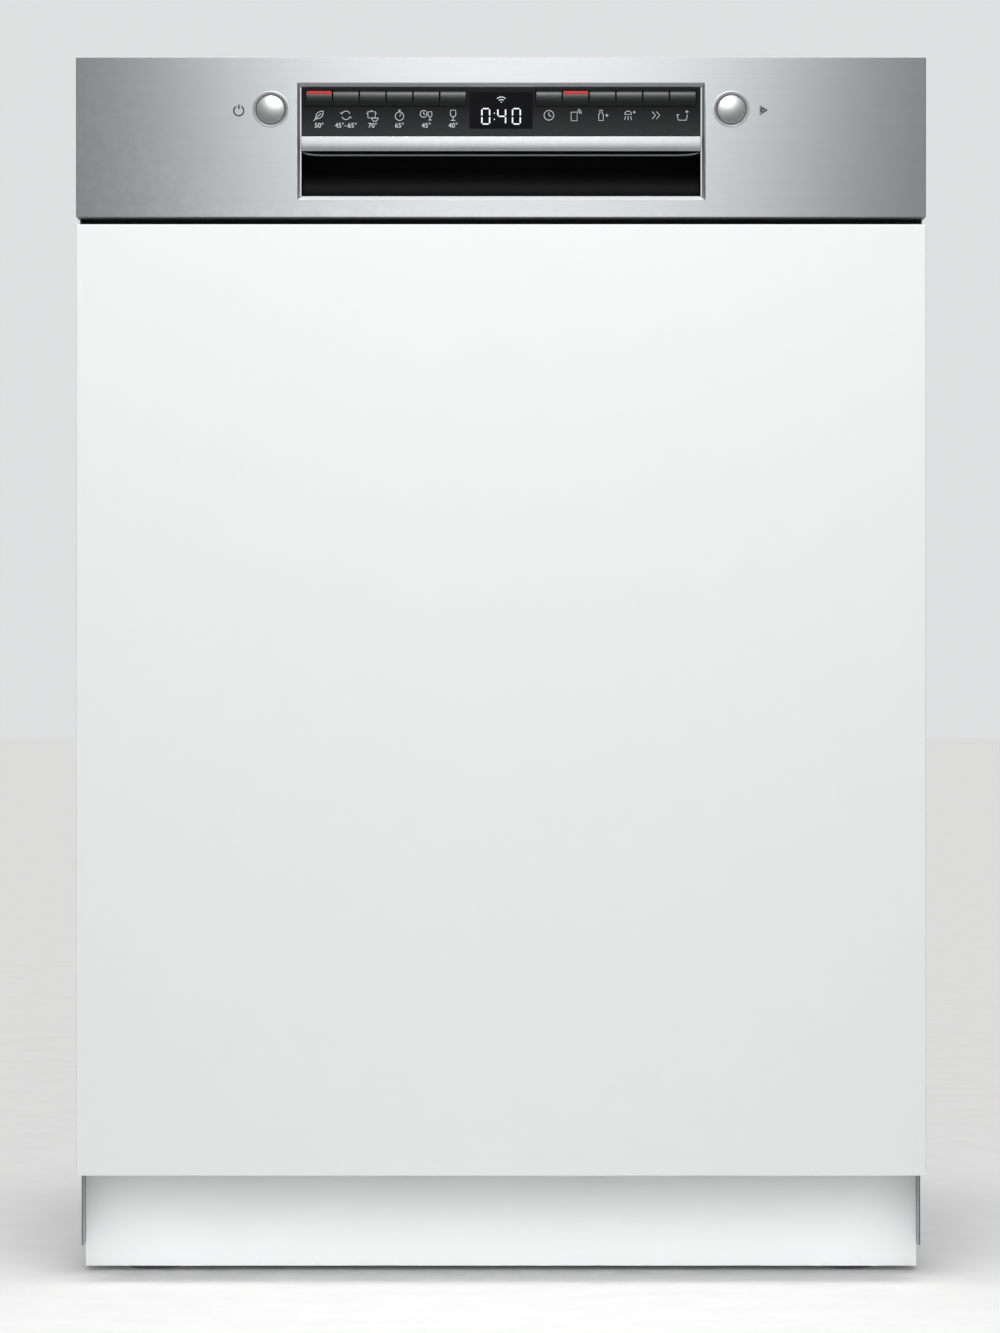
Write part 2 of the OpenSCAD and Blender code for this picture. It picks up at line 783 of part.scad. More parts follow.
// Smoked window between the two groups of keys
module display_window() color("dimgray")
    block([-window_w / 2, window_w / 2], [housing_y, housing_y + window_t - fit_gap],
        [window_top - window_h, window_top]);

// Bright bar across the top of the grip pocket
module handle_bar() color("lightgray") along_x([-pocket_w / 2 + fit_gap, pocket_w / 2 - fit_gap]) {
    area([fascia_y + bar_round, bar_top - bar_h], [fascia_y + bar_depth, bar_top]);
    area([fascia_y, bar_top - bar_h + bar_round], [fascia_y + bar_depth, bar_top - bar_round]);
    for (z = [bar_top - bar_h + bar_round, bar_top - bar_round])
        translate([fascia_y + bar_round, z]) circle(bar_round);
}

// Key board with its display and switches, and a small board behind each round button
module control_board() color("darkgreen") {
    board_z = [cavity_z + fit_gap, cavity_top - fit_gap];
    block([-guide_x + over, guide_x - over], [board_y, board_y + board_t], board_z);
    block([-window_w / 2 + window_ledge + fit_gap, window_w / 2 - window_ledge - fit_gap],
        [strip_rear + fit_gap, board_y],
        [window_top - window_h + window_ledge + fit_gap, window_top - window_ledge - fit_gap]);
    both() for (i = [1 : group_keys]) translate([key_x(i), 0, 0])
        block([-switch_w / 2, switch_w / 2], [switch_y, board_y],
            [key_z + key_h / 2 - switch_w / 2, key_z + key_h / 2 + switch_w / 2]);
    both() {
        block([guide_x, cavity_half - fit_gap], [button_board_y, button_board_y + board_t], board_z);
        block([button_x - switch_w / 2, button_x + switch_w / 2], [button_switch_y, button_board_y],
            [button_z - switch_w / 2, button_z + switch_w / 2]);
    }
}

// Round button with a domed face and a guided stem
module round_button(x) color("gainsboro") translate([x, fascia_y - button_proud, button_z]) {
    dome_r = (pow(button_d / 2, 2) + pow(button_dome, 2)) / (2 * button_dome);
    intersection() {
        bar_y(0, [0, button_head], 0, button_d / 2);
        translate([0, dome_r, 0]) sphere(dome_r);
    }
    bar_y(0, [button_head - over, button_head + stem_l], 0, stem_d / 2);
}

module power_button() round_button(-button_x);

module start_button() round_button(button_x);

// Distance from the middle to key i of a group, counted outwards
function key_x(i) = key_group_x + (i - (group_keys + 1) / 2) * key_pitch;

// Rectangular key with a stem that reaches to its switch
module key(x) color("dimgray") {
    cap_rear = strip_rear + housing_wall / 2;
    block([x - key_w / 2, x + key_w / 2], [key_y, cap_rear], [key_z, key_top]);
    block([x - key_stem / 2, x + key_stem / 2], [cap_rear - over, switch_y - key_travel - fit_gap],
        [key_z + key_h / 2 - key_stem / 2, key_z + key_h / 2 + key_stem / 2]);
}

// Program keys stand left of the display and option keys right of it, each numbered from the left
module program_key(i) key(-key_x(group_keys + 1 - i));

module option_key(i) key(key_x(i));

// Steel pan of the inner door, open to the front
module inner_door() color("silver") difference() {
    block([-door_half, door_half], [pan_y, door_y], [door_z, door_top]);
    block([-door_half + door_t, door_half - door_t], [pan_y - over, door_y - door_t],
        [door_z + door_t, door_top - door_t]);
    both() block([arm_in - hinge_gap, door_half - door_t], [pan_y - over, hinge_y + ear_r + over],
        [door_z - over, door_z + door_t + over]);
    block([dispenser_x - dispenser_w / 2, dispenser_x + dispenser_w / 2], [pan_y, door_y + over],
        [dispenser_z - dispenser_h / 2, dispenser_z + dispenser_h / 2]);
    strike_slot(door_y + over);
}

// Room for the strike hook, from inside the lock to the value of y given
module strike_slot(y) {
    block([-strike_w / 2 - strike_gap, strike_w / 2 + strike_gap], [strike_y - 2 * strike_gap, y],
        [strike_z - strike_gap, strike_z + strike_t + strike_gap]);
}

// Galvanised skin behind the furniture front, folded back inside the pan's sides
module outer_door() color("lightgray") {
    skin_z = [door_z + door_t + fit_gap, furniture_top + skin_rise];
    block([-door_inside, door_inside], [skin_y, skin_y + skin_t], skin_z);
    both() block([door_inside - skin_t, door_inside], [skin_y, skin_y + skin_fold], skin_z);
}

// Lacquered furniture front
module furniture_front() color("white")
    block([-front_half, front_half], [front_y, furniture_rear], [furniture_z, furniture_top]);

// Arms inside the door, each with an eye for its hinge pin and a foot against the pan's side
module door_hinge_arms() color("gray") both() difference() {
    union() {
        along_x([arm_in, arm_out]) {
            translate([hinge_y, hinge_z]) circle(ear_r);
            area([hinge_y - arm_half, hinge_z], [hinge_y + arm_half, hinge_z + arm_rise]);
        }
        block([arm_out - over, door_inside], [skin_y + skin_fold + over, hinge_y + arm_half],
            [hinge_z + 2 * ear_r, hinge_z + arm_rise]);
    }
    bar_x([arm_in - over, arm_out + over], hinge_y, hinge_z, pin_d / 2 + running_gap);
}

// Dispenser body with the detergent cup and the rinse-aid neck
module dispenser_body() color("dimgray") difference() {
    union() {
        block([dispenser_x - dispenser_w / 2 + fit_gap, dispenser_x + dispenser_w / 2 - fit_gap],
            [door_y - dispenser_depth, door_y + fit_gap],
            [dispenser_z - dispenser_h / 2 + fit_gap, dispenser_z + dispenser_h / 2 - fit_gap]);
        block([dispenser_x - dispenser_w / 2 - dispenser_lip, dispenser_x + dispenser_w / 2 + dispenser_lip],
            [door_y + fit_gap / 2, door_y + dispenser_lip_t],
            [dispenser_z - dispenser_h / 2 - dispenser_lip, dispenser_z + dispenser_h / 2 + dispenser_lip]);
    }
    block([cup_left, cup_left + cup_w], [door_y - cup_depth, flap_y + over],
        [dispenser_z - cup_h / 2, dispenser_z + cup_h / 2]);
    bar_y(dispenser_x + rinse_x, [door_y - rinse_neck_l - over, flap_y + over], dispenser_z,
        rinse_neck_d / 2 + running_gap);
}

// Sliding lid over the detergent cup, with a raised grip
module dispenser_lid() color("gainsboro") {
    block([cup_left - lid_lip, cup_left + cup_w + lid_lip], [flap_y, flap_y + lid_t],
        [dispenser_z - cup_h / 2 - lid_lip, dispenser_z + cup_h / 2 + lid_lip]);
    block([cup_left + cup_w / 3, cup_left + cup_w * 2 / 3], [flap_y, flap_y + 2 * lid_t],
        [dispenser_z - cup_h / 2, dispenser_z - cup_h / 2 + 2 * lid_lip]);
}

// Rinse-aid cap with its neck and a grip bar
module rinse_aid_cap() color("royalblue") translate([dispenser_x + rinse_x, 0, dispenser_z]) {
    bar_y(0, [flap_y, flap_y + lid_t], 0, rinse_d / 2);
    bar_y(0, [door_y - rinse_neck_l, flap_y + over], 0, rinse_neck_d / 2);
    block([-rinse_d / 2 + lid_lip, rinse_d / 2 - lid_lip], [flap_y, flap_y + 2 * lid_t],
        [-lid_t / 2, lid_t / 2]);
}

// Door lock behind the control panel
module door_lock() color("dimgray") difference() {
    top = door_top - door_t - fit_gap;
    block([-lock_w / 2, lock_w / 2], [front_y + lock_depth, door_y - door_t - fit_gap], [top - lock_h, top]);
    strike_slot(door_y);
}

// Outline of the tub above its ledges, grown outwards by a wall
module tub_outline(grow) {
    half = tub_half + grow;
    top = tub_top + grow;
    r = tub_round + grow;
    area([-half, ledge_z - grow], [half, top - r]);
    area([-half + r, ledge_z - grow], [half - r, top]);
    for (x = [-half + r, half - r]) translate([x, top - r]) circle(r);
}

// Stainless tub of welded sheets: a front flange, a shell with wheel ledges, a rear wall and a well
module tub() color("silver") {
    well_half = well_w / 2;
    well_y = flange_y + sill_depth;
    difference() {
        block([-cabinet_half, cabinet_half], [flange_y, flange_y + tub_t], [flange_z, top_plate_z - fit_gap]);
        along_y([flange_y - over, flange_y + tub_t + over]) tub_outline(0);
    }
    difference() {
        along_y([flange_y + tub_t + weld_gap, tub_back - weld_gap]) tub_outline(tub_t);
        along_y([flange_y, tub_rear]) tub_outline(0);
        block([-well_half, well_half], [well_y, tub_rear], [ledge_z - tub_t - over, ledge_z + over]);
    }
    along_y([tub_back, tub_rear]) {
        tub_outline(tub_t);
        area([-well_half - tub_t, well_z - tub_t], [well_half + tub_t, ledge_z]);
    }
    difference() {
        block([-well_half - tub_t, well_half + tub_t], [well_y - tub_t, tub_back - weld_gap],
            [well_z - tub_t, ledge_z - tub_t - weld_gap]);
        block([-well_half, well_half], [well_y, tub_rear], [well_z, ledge_z + over]);
        bar_z(sump_x, spray_y, [well_z - tub_t - over, well_z + over], sump_d / 2 - sump_wall);
        bar_z(-salt_x, spray_y - salt_y, [well_z - tub_t - over, well_z + over], salt_neck_d / 2 + fit_gap);
    }
}

// Rubber gasket between the tub's flange and the door
module door_gasket() color("black") along_y([door_y + slide_gap, flange_y - slide_gap]) difference() {
    area([-tub_half - seal_out - seal_w, seal_z], [tub_half + seal_out + seal_w, seal_top]);
    area([-tub_half - seal_out, seal_z + seal_foot_h], [tub_half + seal_out, seal_top - seal_top_h]);
}

// Plastic base pan with posts for the tub, guides for the feet and cradles for the pumps
module base_pan() color("dimgray") {
    difference() {
        block([-cabinet_half, cabinet_half], [base_y, base_rear], [base_z, base_floor]);
        both() bar_z(foot_x, front_foot_y, [base_z - over, base_floor + over], screw_d / 2 + running_gap);
        bar_z(0, rear_foot_y, [base_z - over, base_floor + over], screw_d / 2 + running_gap);
    }
    both() foot_guide(foot_x, front_foot_y);
    foot_guide(0, rear_foot_y);
    both() for (y = [front_foot_y + pad_d, base_rear - post_inset - post_w])
        block([post_x - post_w / 2, post_x + post_w / 2], [y, y + post_w],
            [fitting_z, ledge_z - tub_t - fit_gap]);
    for (x = [pump_x, pump_x + pump_l - cradle_w]) pump_cradle(x, pump_d);
    for (x = [drain_x, drain_x - drain_l + cradle_w]) pump_cradle(x - cradle_w, drain_d);
    translate([-salt_x, spray_y - salt_y, 0])
        block([-cradle_w, cradle_w], [-cradle_w, cradle_w], [fitting_z, salt_top - salt_h - fit_gap]);
    difference() {
        block([shaft_x - shaft_d, shaft_x + shaft_d],
            [rear_foot_y - pad_d, rear_foot_y - pad_d + cradle_w], [fitting_z, shaft_z + shaft_d]);
        bar_y(shaft_x, [rear_foot_y - pad_d - over, rear_foot_y - pad_d + cradle_w + over], shaft_z,
            shaft_d / 2 + running_gap);
    }
    difference() {
        block([-cabinet_half, cabinet_half], [base_y, base_y + base_wall], [fitting_z, front_wall_top]);
        bar_y(shaft_x, [base_y - over, base_y + base_wall + over], shaft_z, shaft_d / 2 + running_gap);
    }
    block([-cabinet_half, cabinet_half], [base_rear - base_wall, base_rear], [fitting_z, base_top]);
    both() block([base_inside, cabinet_half],
        [base_y + base_wall + weld_gap, base_rear - base_wall - weld_gap], [fitting_z, base_top]);
}

// Guide of a foot's screw at x and y
module foot_guide(x, y) difference() {
    bar_z(x, y, [fitting_z, base_z + boss_h], screw_d / 2 + boss_wall);
    bar_z(x, y, [fitting_z - over, base_z + boss_h + over], screw_d / 2 + running_gap);
}

// Axis of both pumps, the circulation pump's inner end and the drain pump's inner end
pump_z = sump_z - pump_d / 2 - sump_wall * 2;
pump_x = sump_x + sump_d / 2 + pump_gap;
drain_x = sump_x - sump_d / 2 - pump_gap;

// Cradle under a pump that starts at x
module pump_cradle(x, d) difference() {
    block([x, x + cradle_w], [spray_y - d / 2, spray_y + d / 2], [fitting_z, pump_z]);
    bar_x([x - over, x + cradle_w + over], spray_y, pump_z, d / 2 + fit_gap);
}

// Hinge brackets along the base pan's sides, each with its pin
module hinge_brackets() color("gray") both() {
    along_x([bracket_in, bracket_out]) {
        translate([hinge_y, hinge_z]) circle(ear_r);
        area([hinge_y, hinge_z - ear_r], [hinge_y + bracket_l, hinge_z + ear_r]);
    }
    bar_x([arm_in - over, bracket_in + over], hinge_y, hinge_z, pin_d / 2);
    bar_x([arm_in - over - pin_head_t, arm_in - over], hinge_y, hinge_z, pin_head_r);
}

// Side panel with a notch behind the swinging furniture front
module side_panel() color("lightgray") {
    block([body_half - panel_t, body_half], [flange_y, rear_y], [flange_z, body_h]);
    block([body_half - panel_t, body_half], [base_y, rear_y], [base_z, flange_z + over]);
}

module right_side_panel() side_panel();

module left_side_panel() mirror([1, 0, 0]) side_panel();

// Rear panel above the connections
module rear_panel() color("lightgray")
    block([-cabinet_half, cabinet_half], [rear_y - panel_t, rear_y], [flange_z, top_plate_z - fit_gap]);

// Top plate with the strike hook for the door lock
module top_plate() color("lightgray") {
    plate_z = [top_plate_z, top_plate_z + panel_t];
    front = flange_y - fit_gap;
    block([-cabinet_half, cabinet_half], [flange_y, rear_y], plate_z);
    block([-strike_plate_w / 2, strike_plate_w / 2], [front - panel_t, flange_y + over], plate_z);
    block([-strike_plate_w / 2, strike_plate_w / 2], [front - panel_t, front],
        [strike_z, top_plate_z + panel_t]);
    block([-strike_w / 2, strike_w / 2], [strike_y, front], [strike_z, strike_z + strike_t]);
}

// Brackets that are screwed up into the worktop
module worktop_brackets() color("gray") both() difference() {
    block([tab_x - tab_w / 2, tab_x + tab_w / 2], [flange_y - tab_reach, flange_y + tab_l],
        [body_h - tab_t, body_h]);
    bar_z(tab_x, flange_y - tab_reach / 2, [body_h - tab_t - over, body_h + over], tab_hole_d / 2);
}

// White plinth panel below the furniture front
module kick_plate() color("white")
    block([-front_half, front_half], [kick_y, kick_y + kick_t], [kick_z, kick_top]);

// Screw foot with its pad
module foot(x, y) color("dimgray") {
    bar_z(x, y, [0, pad_t], pad_d / 2);
    bar_z(x, y, [pad_t - over, screw_top], screw_d / 2);
}

module front_left_foot() foot(-foot_x, front_foot_y);

module front_right_foot() foot(foot_x, front_foot_y);

module rear_foot() foot(0, rear_foot_y);

// Shaft that turns the rear foot's gear from the front
module rear_foot_shaft() color("gainsboro")
    bar_y(shaft_x, [base_y + fit_gap, rear_foot_y], shaft_z, shaft_d / 2);

// Sump under the well with its collar, its ports and the post for the lower spray arm
module sump() color("dimgray") {
    difference() {
        union() {
            bar_z(sump_x, spray_y, [sump_z - sump_depth, sump_z], sump_d / 2);
            bar_z(sump_x, spray_y, [sump_z - sump_wall, sump_z], sump_d / 2 + collar_w);
            bar_x([drain_x + slide_gap, pump_x - slide_gap], spray_y, pump_z, port_d / 2);
        }
        bar_z(sump_x, spray_y, [sump_z - sump_depth + sump_wall, sump_z + over], sump_d / 2 - sump_wall);
    }
    bar_z(0, spray_y, [sump_z - sump_depth + over, lower_arm_z + spray_t - sump_wall], hub_d / 2);
}

// Circulation pump to the right of the sump
module circulation_pump() color("gray") {
    bar_x([pump_x, pump_x + pump_l], spray_y, pump_z, pump_d / 2);
    bar_x([pump_x + pump_l - over, pump_x + pump_l + cradle_w], spray_y, pump_z, pump_d / 3);
}

// Drain pump to the left of the sump
module drain_pump() color("gray") {
    bar_x([drain_x - drain_l, drain_x], spray_y, pump_z, drain_d / 2);
    bar_x([drain_x - drain_l - cradle_w, drain_x - drain_l + over], spray_y, pump_z, drain_d / 3);
}

// Salt container with a threaded neck that stands through the well
module salt_container() color("gainsboro") translate([-salt_x, spray_y - salt_y, 0]) difference() {
    half = salt_w / 2;
    inside = half - sump_wall;
    union() {
        block([-half, half], [-half, half], [salt_top - salt_h, salt_top]);
        bar_z(0, 0, [salt_top - over, well_z + sieve_t], salt_neck_d / 2);
    }
    block([-inside, inside], [-inside, inside], [salt_top - salt_h + sump_wall, salt_top - sump_wall]);
    bar_z(0, 0, [salt_top - salt_h / 2, well_z + sieve_t + over], salt_neck_d / 2 - sump_wall);
}

// Cap of the salt container with a grip bar
module salt_cap() color("gainsboro") translate([-salt_x, spray_y - salt_y, well_z + sieve_t + slide_gap]) {
    bar_z(0, 0, [0, salt_cap_t], salt_cap_d / 2);
    block([-salt_cap_d / 3, salt_cap_d / 3], [-salt_cap_t / 2, salt_cap_t / 2], [0, salt_cap_t * 3 / 2]);
}

// Micro filter cup that hangs in the fine filter, with a grip bar
module micro_filter() color("gainsboro") translate([filter_x, spray_y, sieve_z]) {
    difference() {
        union() {
            bar_z(0, 0, [-filter_h, sieve_t + slide_gap], filter_d / 2);
            bar_z(0, 0, [sieve_t + slide_gap, 2 * sieve_t + slide_gap], filter_d / 2 + filter_wall);
        }
        bar_z(0, 0, [-filter_h + filter_wall, 3 * sieve_t], filter_d / 2 - filter_wall);
    }
    block([-filter_d / 2 + over, filter_d / 2 - over], [-sieve_t, sieve_t], [0, sieve_t * 5]);
}

// Fine filter on the floor of the well
module fine_filter() color("silver") translate([0, 0, sieve_z]) linear_extrude(sieve_t) difference() {
    translate([sump_x, spray_y])
        round_area([-sieve_w / 2, -sieve_d / 2], [sieve_w / 2, sieve_d / 2], sieve_round);
    translate([filter_x, spray_y]) circle(filter_d / 2 + slide_gap);
    translate([0, spray_y]) circle(hub_d / 2 + fit_gap);
}

// Feed pipe up the rear wall, with its port for the upper rack and the top sprinkler
module feed_pipe() color("gainsboro") {
    top = tub_top - pipe_drop;
    bar_z(0, pipe_y, [well_z + fit_gap, top], pipe_d / 2);
    bar_y(0, [spray_y, pipe_y + pipe_d / 2], top, pipe_d / 2);
    bar_z(0, spray_y, [top - pipe_d, top], sprinkler_d / 2);
    bar_y(0, [rack_rear + slide_gap, pipe_y], port_z, pipe_d / 3);
    for (z = [port_z, top])
        block([-pipe_d, pipe_d], [pipe_y, tub_back - fit_gap], [z - pipe_d / 2, z + pipe_d / 2]);
}

// Spray arm, long along X, with its hub on the spray axis
module spray_arm(z, bore) color("gainsboro") translate([0, spray_y, z]) difference() {
    union() {
        linear_extrude(spray_t) {
            polygon([[-spray_r + spray_tip_w / 2, -spray_tip_w / 2], [0, -spray_w / 2],
                [spray_r - spray_tip_w / 2, -spray_tip_w / 2], [spray_r - spray_tip_w / 2, spray_tip_w / 2],
                [0, spray_w / 2], [-spray_r + spray_tip_w / 2, spray_tip_w / 2]]);
            for (side = [-1, 1]) translate([side * (spray_r - spray_tip_w / 2), 0]) circle(spray_tip_w / 2);
        }
        children();
    }
    translate([0, 0, bore[1]]) cylinder(d = bore[0] + 2 * running_gap, h = bore[2]);
}

// Lower spray arm, whose blind hub sits on the sump's post
module lower_spray_arm() spray_arm(lower_arm_z, [hub_d, -over, spray_t])
    cylinder(d = spray_w - 2 * sump_wall, h = spray_t + 1.5 * sump_wall);

// Upper spray arm, whose hub hangs on the upper rack's pin
module upper_spray_arm() spray_arm(upper_arm_z, [upper_pin_d, sump_wall, spray_t])
    translate([0, 0, -sump_wall]) cylinder(d = spray_w - 2 * sump_wall, h = spray_t);

// Inlet valve, drain spigot and mains inlet on the base pan's rear wall
module water_connections() color("gainsboro") {
    y = base_rear + fit_gap;
    z = base_z + connection_rise;
    difference() {
        union() {
            block([-inlet_x - valve_w / 2, -inlet_x + valve_w / 2], [y, y + valve_l],
                [z - valve_w / 2, z + valve_w / 2]);
            bar_y(-inlet_x, [y, y + valve_l + inlet_l], z, inlet_d / 2);
        }
        bar_y(-inlet_x, [y + valve_l / 2, y + valve_l + inlet_l + over], z, inlet_bore / 2);
    }
    difference() {
        bar_y(-spigot_x, [y, y + spigot_l], z, spigot_d / 2);
        bar_y(-spigot_x, [y + fit_gap, y + spigot_l + over], z, spigot_bore / 2);
    }
    translate([inlet_x, y, z]) rotate([-90, 0, 0]) difference() {
        linear_extrude(mains_l) square([mains_w, mains_h], center = true);
        translate([0, 0, housing_wall]) linear_extrude(mains_l)
            square([mains_w - 2 * housing_wall, mains_h - 2 * housing_wall], center = true);
    }
}

// Places of the front and rear wheels along the rack
wheel_y = [rack_y + wheel_inset, rack_rear - wheel_inset];

// Lower rack with its four axle pins
module lower_rack() color("lightsteelblue") {
    basket(rack_half, [rack_y, rack_rear], [lower_z, lower_z + lower_h]);
    both() for (y = wheel_y) {
        wall_z = lower_z + wire_d + weld_gap;
        block([rack_half - wire_d, rack_half + wheel_gap / 2], [y - axle_d, y + axle_d],
            [wall_z, wall_z + wire_d]);
        block([rack_half + weld_gap, rack_half + wheel_gap / 2], [y - axle_d, y + axle_d],
            [wheel_z - axle_d, wall_z + wire_d]);
        bar_x([rack_half + weld_gap, wheel_out + over], y, wheel_z, axle_d / 2);
    }
    block([-rack_half, rack_half], [tine_y - 2 * wire_d, tine_y + 2 * wire_d], [lower_z, lower_z + wire_d]);
    for (x = [-tine_row_w / 2, tine_row_w / 2]) tine_clip(x);
}

// Clip on the lower rack's floor that carries the tines' rod at x
module tine_clip(x) difference() {
    block([x - wire_d, x + wire_d], [tine_y - 2 * wire_d, tine_y + 2 * wire_d],
        [lower_z + wire_d / 2, tine_z + tine_d]);
    bar_x([x - 2 * wire_d, x + 2 * wire_d], tine_y, tine_z, tine_d / 2 + running_gap);
}

// Pair of wheels at one end of the lower rack
module wheel_pair(y) color("lightgray") both() difference() {
    bar_x([wheel_in, wheel_out], y, wheel_z, wheel_d / 2);
    bar_x([wheel_in - over, wheel_out + over], y, wheel_z, axle_d / 2 + running_gap);
}

module lower_rack_front_wheels() wheel_pair(wheel_y[0]);

module lower_rack_rear_wheels() wheel_pair(wheel_y[1]);

// Row of tines on one rod
module folding_tines() color("lightsteelblue") {
    count = floor((tine_row_w - 6 * wire_d) / tine_pitch);
    first = -(count * tine_pitch) / 2;
    bar_x([-tine_row_w / 2 - 2 * wire_d, tine_row_w / 2 + 2 * wire_d], tine_y, tine_z, tine_d / 2);
    for (i = [0 : count]) bar_z(first + i * tine_pitch, tine_y, [tine_z, tine_z + tine_h], tine_d / 2);
}

// Upper rack with its inner rails, the pipe under its floor and the pin for the spray arm
module upper_rack() color("lightsteelblue") {
    basket(rack_half, [rack_y, rack_rear], [upper_z, upper_z + upper_h]);
    both() {
        block([rail_in - rail_w, rail_in], [rack_y, rack_rear], [rail_z - rail_h / 2, rail_z + rail_h / 2]);
        for (y = wheel_y) block([rack_half - wire_d, rail_in - rail_w + over], [y - axle_d, y + axle_d],
            [rail_z - rail_h / 2, rail_z + rail_h / 2]);
    }
    bar_y(0, [spray_y, rack_rear], port_z, pipe_d / 3);
    bar_z(0, spray_y, [upper_arm_z + sump_wall + slide_gap, upper_z + wire_d], upper_pin_d / 2);
}

// Outer rails of the upper rack and runners of the cutlery tray, on the tub's sides
module rack_rails() color("silver") both() {
    block([rail_out - rail_w, rail_out], [rack_y, rack_rear], [rail_z - rail_h / 2, rail_z + rail_h / 2]);
    block([rail_out - runner_w, rail_out], [rack_y, rack_rear],
        [tray_z - slide_gap - runner_t, tray_z - slide_gap]);
}

// Middle rails of the upper rack
module rail_middle() color("silver") both()
    block([rail_mid - rail_w, rail_mid], [rack_y, rack_rear], [rail_z - rail_h / 2, rail_z + rail_h / 2]);

// Cutlery tray that slides on the runners
module cutlery_tray() color("lightsteelblue") {
    basket(tray_half, [rack_y, rack_rear], [tray_z, tray_z + tray_h]);
    both() block([tray_half - wire_d, tub_half - fit_gap - slide_gap], [rack_y, rack_rear],
        [tray_z, tray_z + wire_d]);
}

control_fascia();
panel_housing();
display_window();
handle_bar();
control_board();
power_button();
start_button();
program_key(1);  // program_key_1
program_key(2);  // program_key_2
program_key(3);  // program_key_3
program_key(4);  // program_key_4
program_key(5);  // program_key_5
program_key(6);  // program_key_6
option_key(1);  // option_key_1
option_key(2);  // option_key_2
option_key(3);  // option_key_3
option_key(4);  // option_key_4
option_key(5);  // option_key_5
option_key(6);  // option_key_6
inner_door();
outer_door();
furniture_front();
door_hinge_arms();
dispenser_body();
dispenser_lid();
rinse_aid_cap();
door_lock();
tub();
door_gasket();
base_pan();
hinge_brackets();
left_side_panel();
right_side_panel();
rear_panel();
top_plate();
worktop_brackets();
kick_plate();
front_left_foot();
front_right_foot();
rear_foot();
rear_foot_shaft();
sump();
circulation_pump();
drain_pump();
salt_container();
salt_cap();
micro_filter();
fine_filter();
feed_pipe();
lower_spray_arm();
upper_spray_arm();
water_connections();
lower_rack();
lower_rack_front_wheels();
lower_rack_rear_wheels();
folding_tines();
upper_rack();
rack_rails();
rail_middle();
cutlery_tray();
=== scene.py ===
"""Looks of a built-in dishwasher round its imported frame. Lengths are in millimetres until a piece is made."""

import json
import math

import bmesh
import bpy
from mathutils import Matrix, Vector

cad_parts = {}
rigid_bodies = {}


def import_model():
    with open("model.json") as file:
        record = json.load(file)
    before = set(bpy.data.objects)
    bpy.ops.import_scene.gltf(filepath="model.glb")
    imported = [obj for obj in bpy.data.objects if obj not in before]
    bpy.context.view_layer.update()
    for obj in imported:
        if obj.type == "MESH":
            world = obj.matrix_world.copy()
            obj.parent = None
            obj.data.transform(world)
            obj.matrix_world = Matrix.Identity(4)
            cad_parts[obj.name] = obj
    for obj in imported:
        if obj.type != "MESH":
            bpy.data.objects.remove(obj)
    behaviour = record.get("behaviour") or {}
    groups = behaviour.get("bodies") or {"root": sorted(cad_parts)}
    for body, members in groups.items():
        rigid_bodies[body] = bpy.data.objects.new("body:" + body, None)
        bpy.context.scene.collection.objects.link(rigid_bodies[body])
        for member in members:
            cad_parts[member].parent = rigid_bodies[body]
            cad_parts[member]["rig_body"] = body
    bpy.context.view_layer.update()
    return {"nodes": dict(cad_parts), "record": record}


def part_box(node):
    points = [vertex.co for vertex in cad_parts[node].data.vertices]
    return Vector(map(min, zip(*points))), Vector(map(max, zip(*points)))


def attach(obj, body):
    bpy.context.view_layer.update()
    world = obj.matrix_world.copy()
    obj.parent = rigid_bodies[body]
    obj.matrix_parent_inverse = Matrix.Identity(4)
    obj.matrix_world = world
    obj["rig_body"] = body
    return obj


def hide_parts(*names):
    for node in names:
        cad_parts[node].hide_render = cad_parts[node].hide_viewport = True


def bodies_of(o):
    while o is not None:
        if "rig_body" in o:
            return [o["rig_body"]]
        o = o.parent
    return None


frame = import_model()

MM = 0.001
SIDES = {-1: "left", 1: "right"}
WHEELS = ("lower_rack_front_wheels", "lower_rack_rear_wheels")
STAND_INS = ("piece", "sheet", "wires", "inlet")   # the parts that take the place of their node
SLOT_OF = {part["node"]: part["material_slot"] for part in frame["record"]["subparts"]}
FINISHES = {}


# ------------ frame

def place(node):
    """Lowest and highest corner of a node."""
    low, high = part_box(node)
    return Vector(low) / MM, Vector(high) / MM


def middle(node):
    """Centre of a node's box."""
    low, high = place(node)
    return (low + high) / 2


def radius_of(node):
    """Half of a node's width."""
    low, high = place(node)
    return (high.x - low.x) / 2


def body_of(node):
    """Body that a node rides on."""
    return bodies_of(frame["nodes"][node])[0]


# ------------ shader helpers

def add(tree, kind, inputs=None, **settings):
    """Adds a shader node. Inputs are plain values or the output sockets to link."""
    node = tree.nodes.new("ShaderNode" + kind)
    for name, value in settings.items():
        setattr(node, name, value)
    for name, value in (inputs or {}).items():
        if isinstance(value, bpy.types.NodeSocket):
            tree.links.new(value, node.inputs[name])
        else:
            node.inputs[name].default_value = value
    return node


def calc(tree, operation, first, second):
    """Result of one operation on two numbers."""
    return add(tree, "Math", {0: first, 1: second}, operation=operation).outputs[0]


def vector_calc(tree, operation, first, second=(0.0, 0.0, 0.0)):
    """Result of one operation on two vectors."""
    return add(tree, "VectorMath", {0: first, 1: second}, operation=operation).outputs[0]


def distance(tree, spot, kept):
    """Length of a vector along the axes that are kept."""
    flat = vector_calc(tree, "MULTIPLY", spot, kept)
    return add(tree, "VectorMath", {0: flat}, operation="LENGTH").outputs["Value"]


def part_of(tree, vector, axis):
    """One part of a vector."""
    return add(tree, "SeparateXYZ", {0: vector}).outputs[axis]


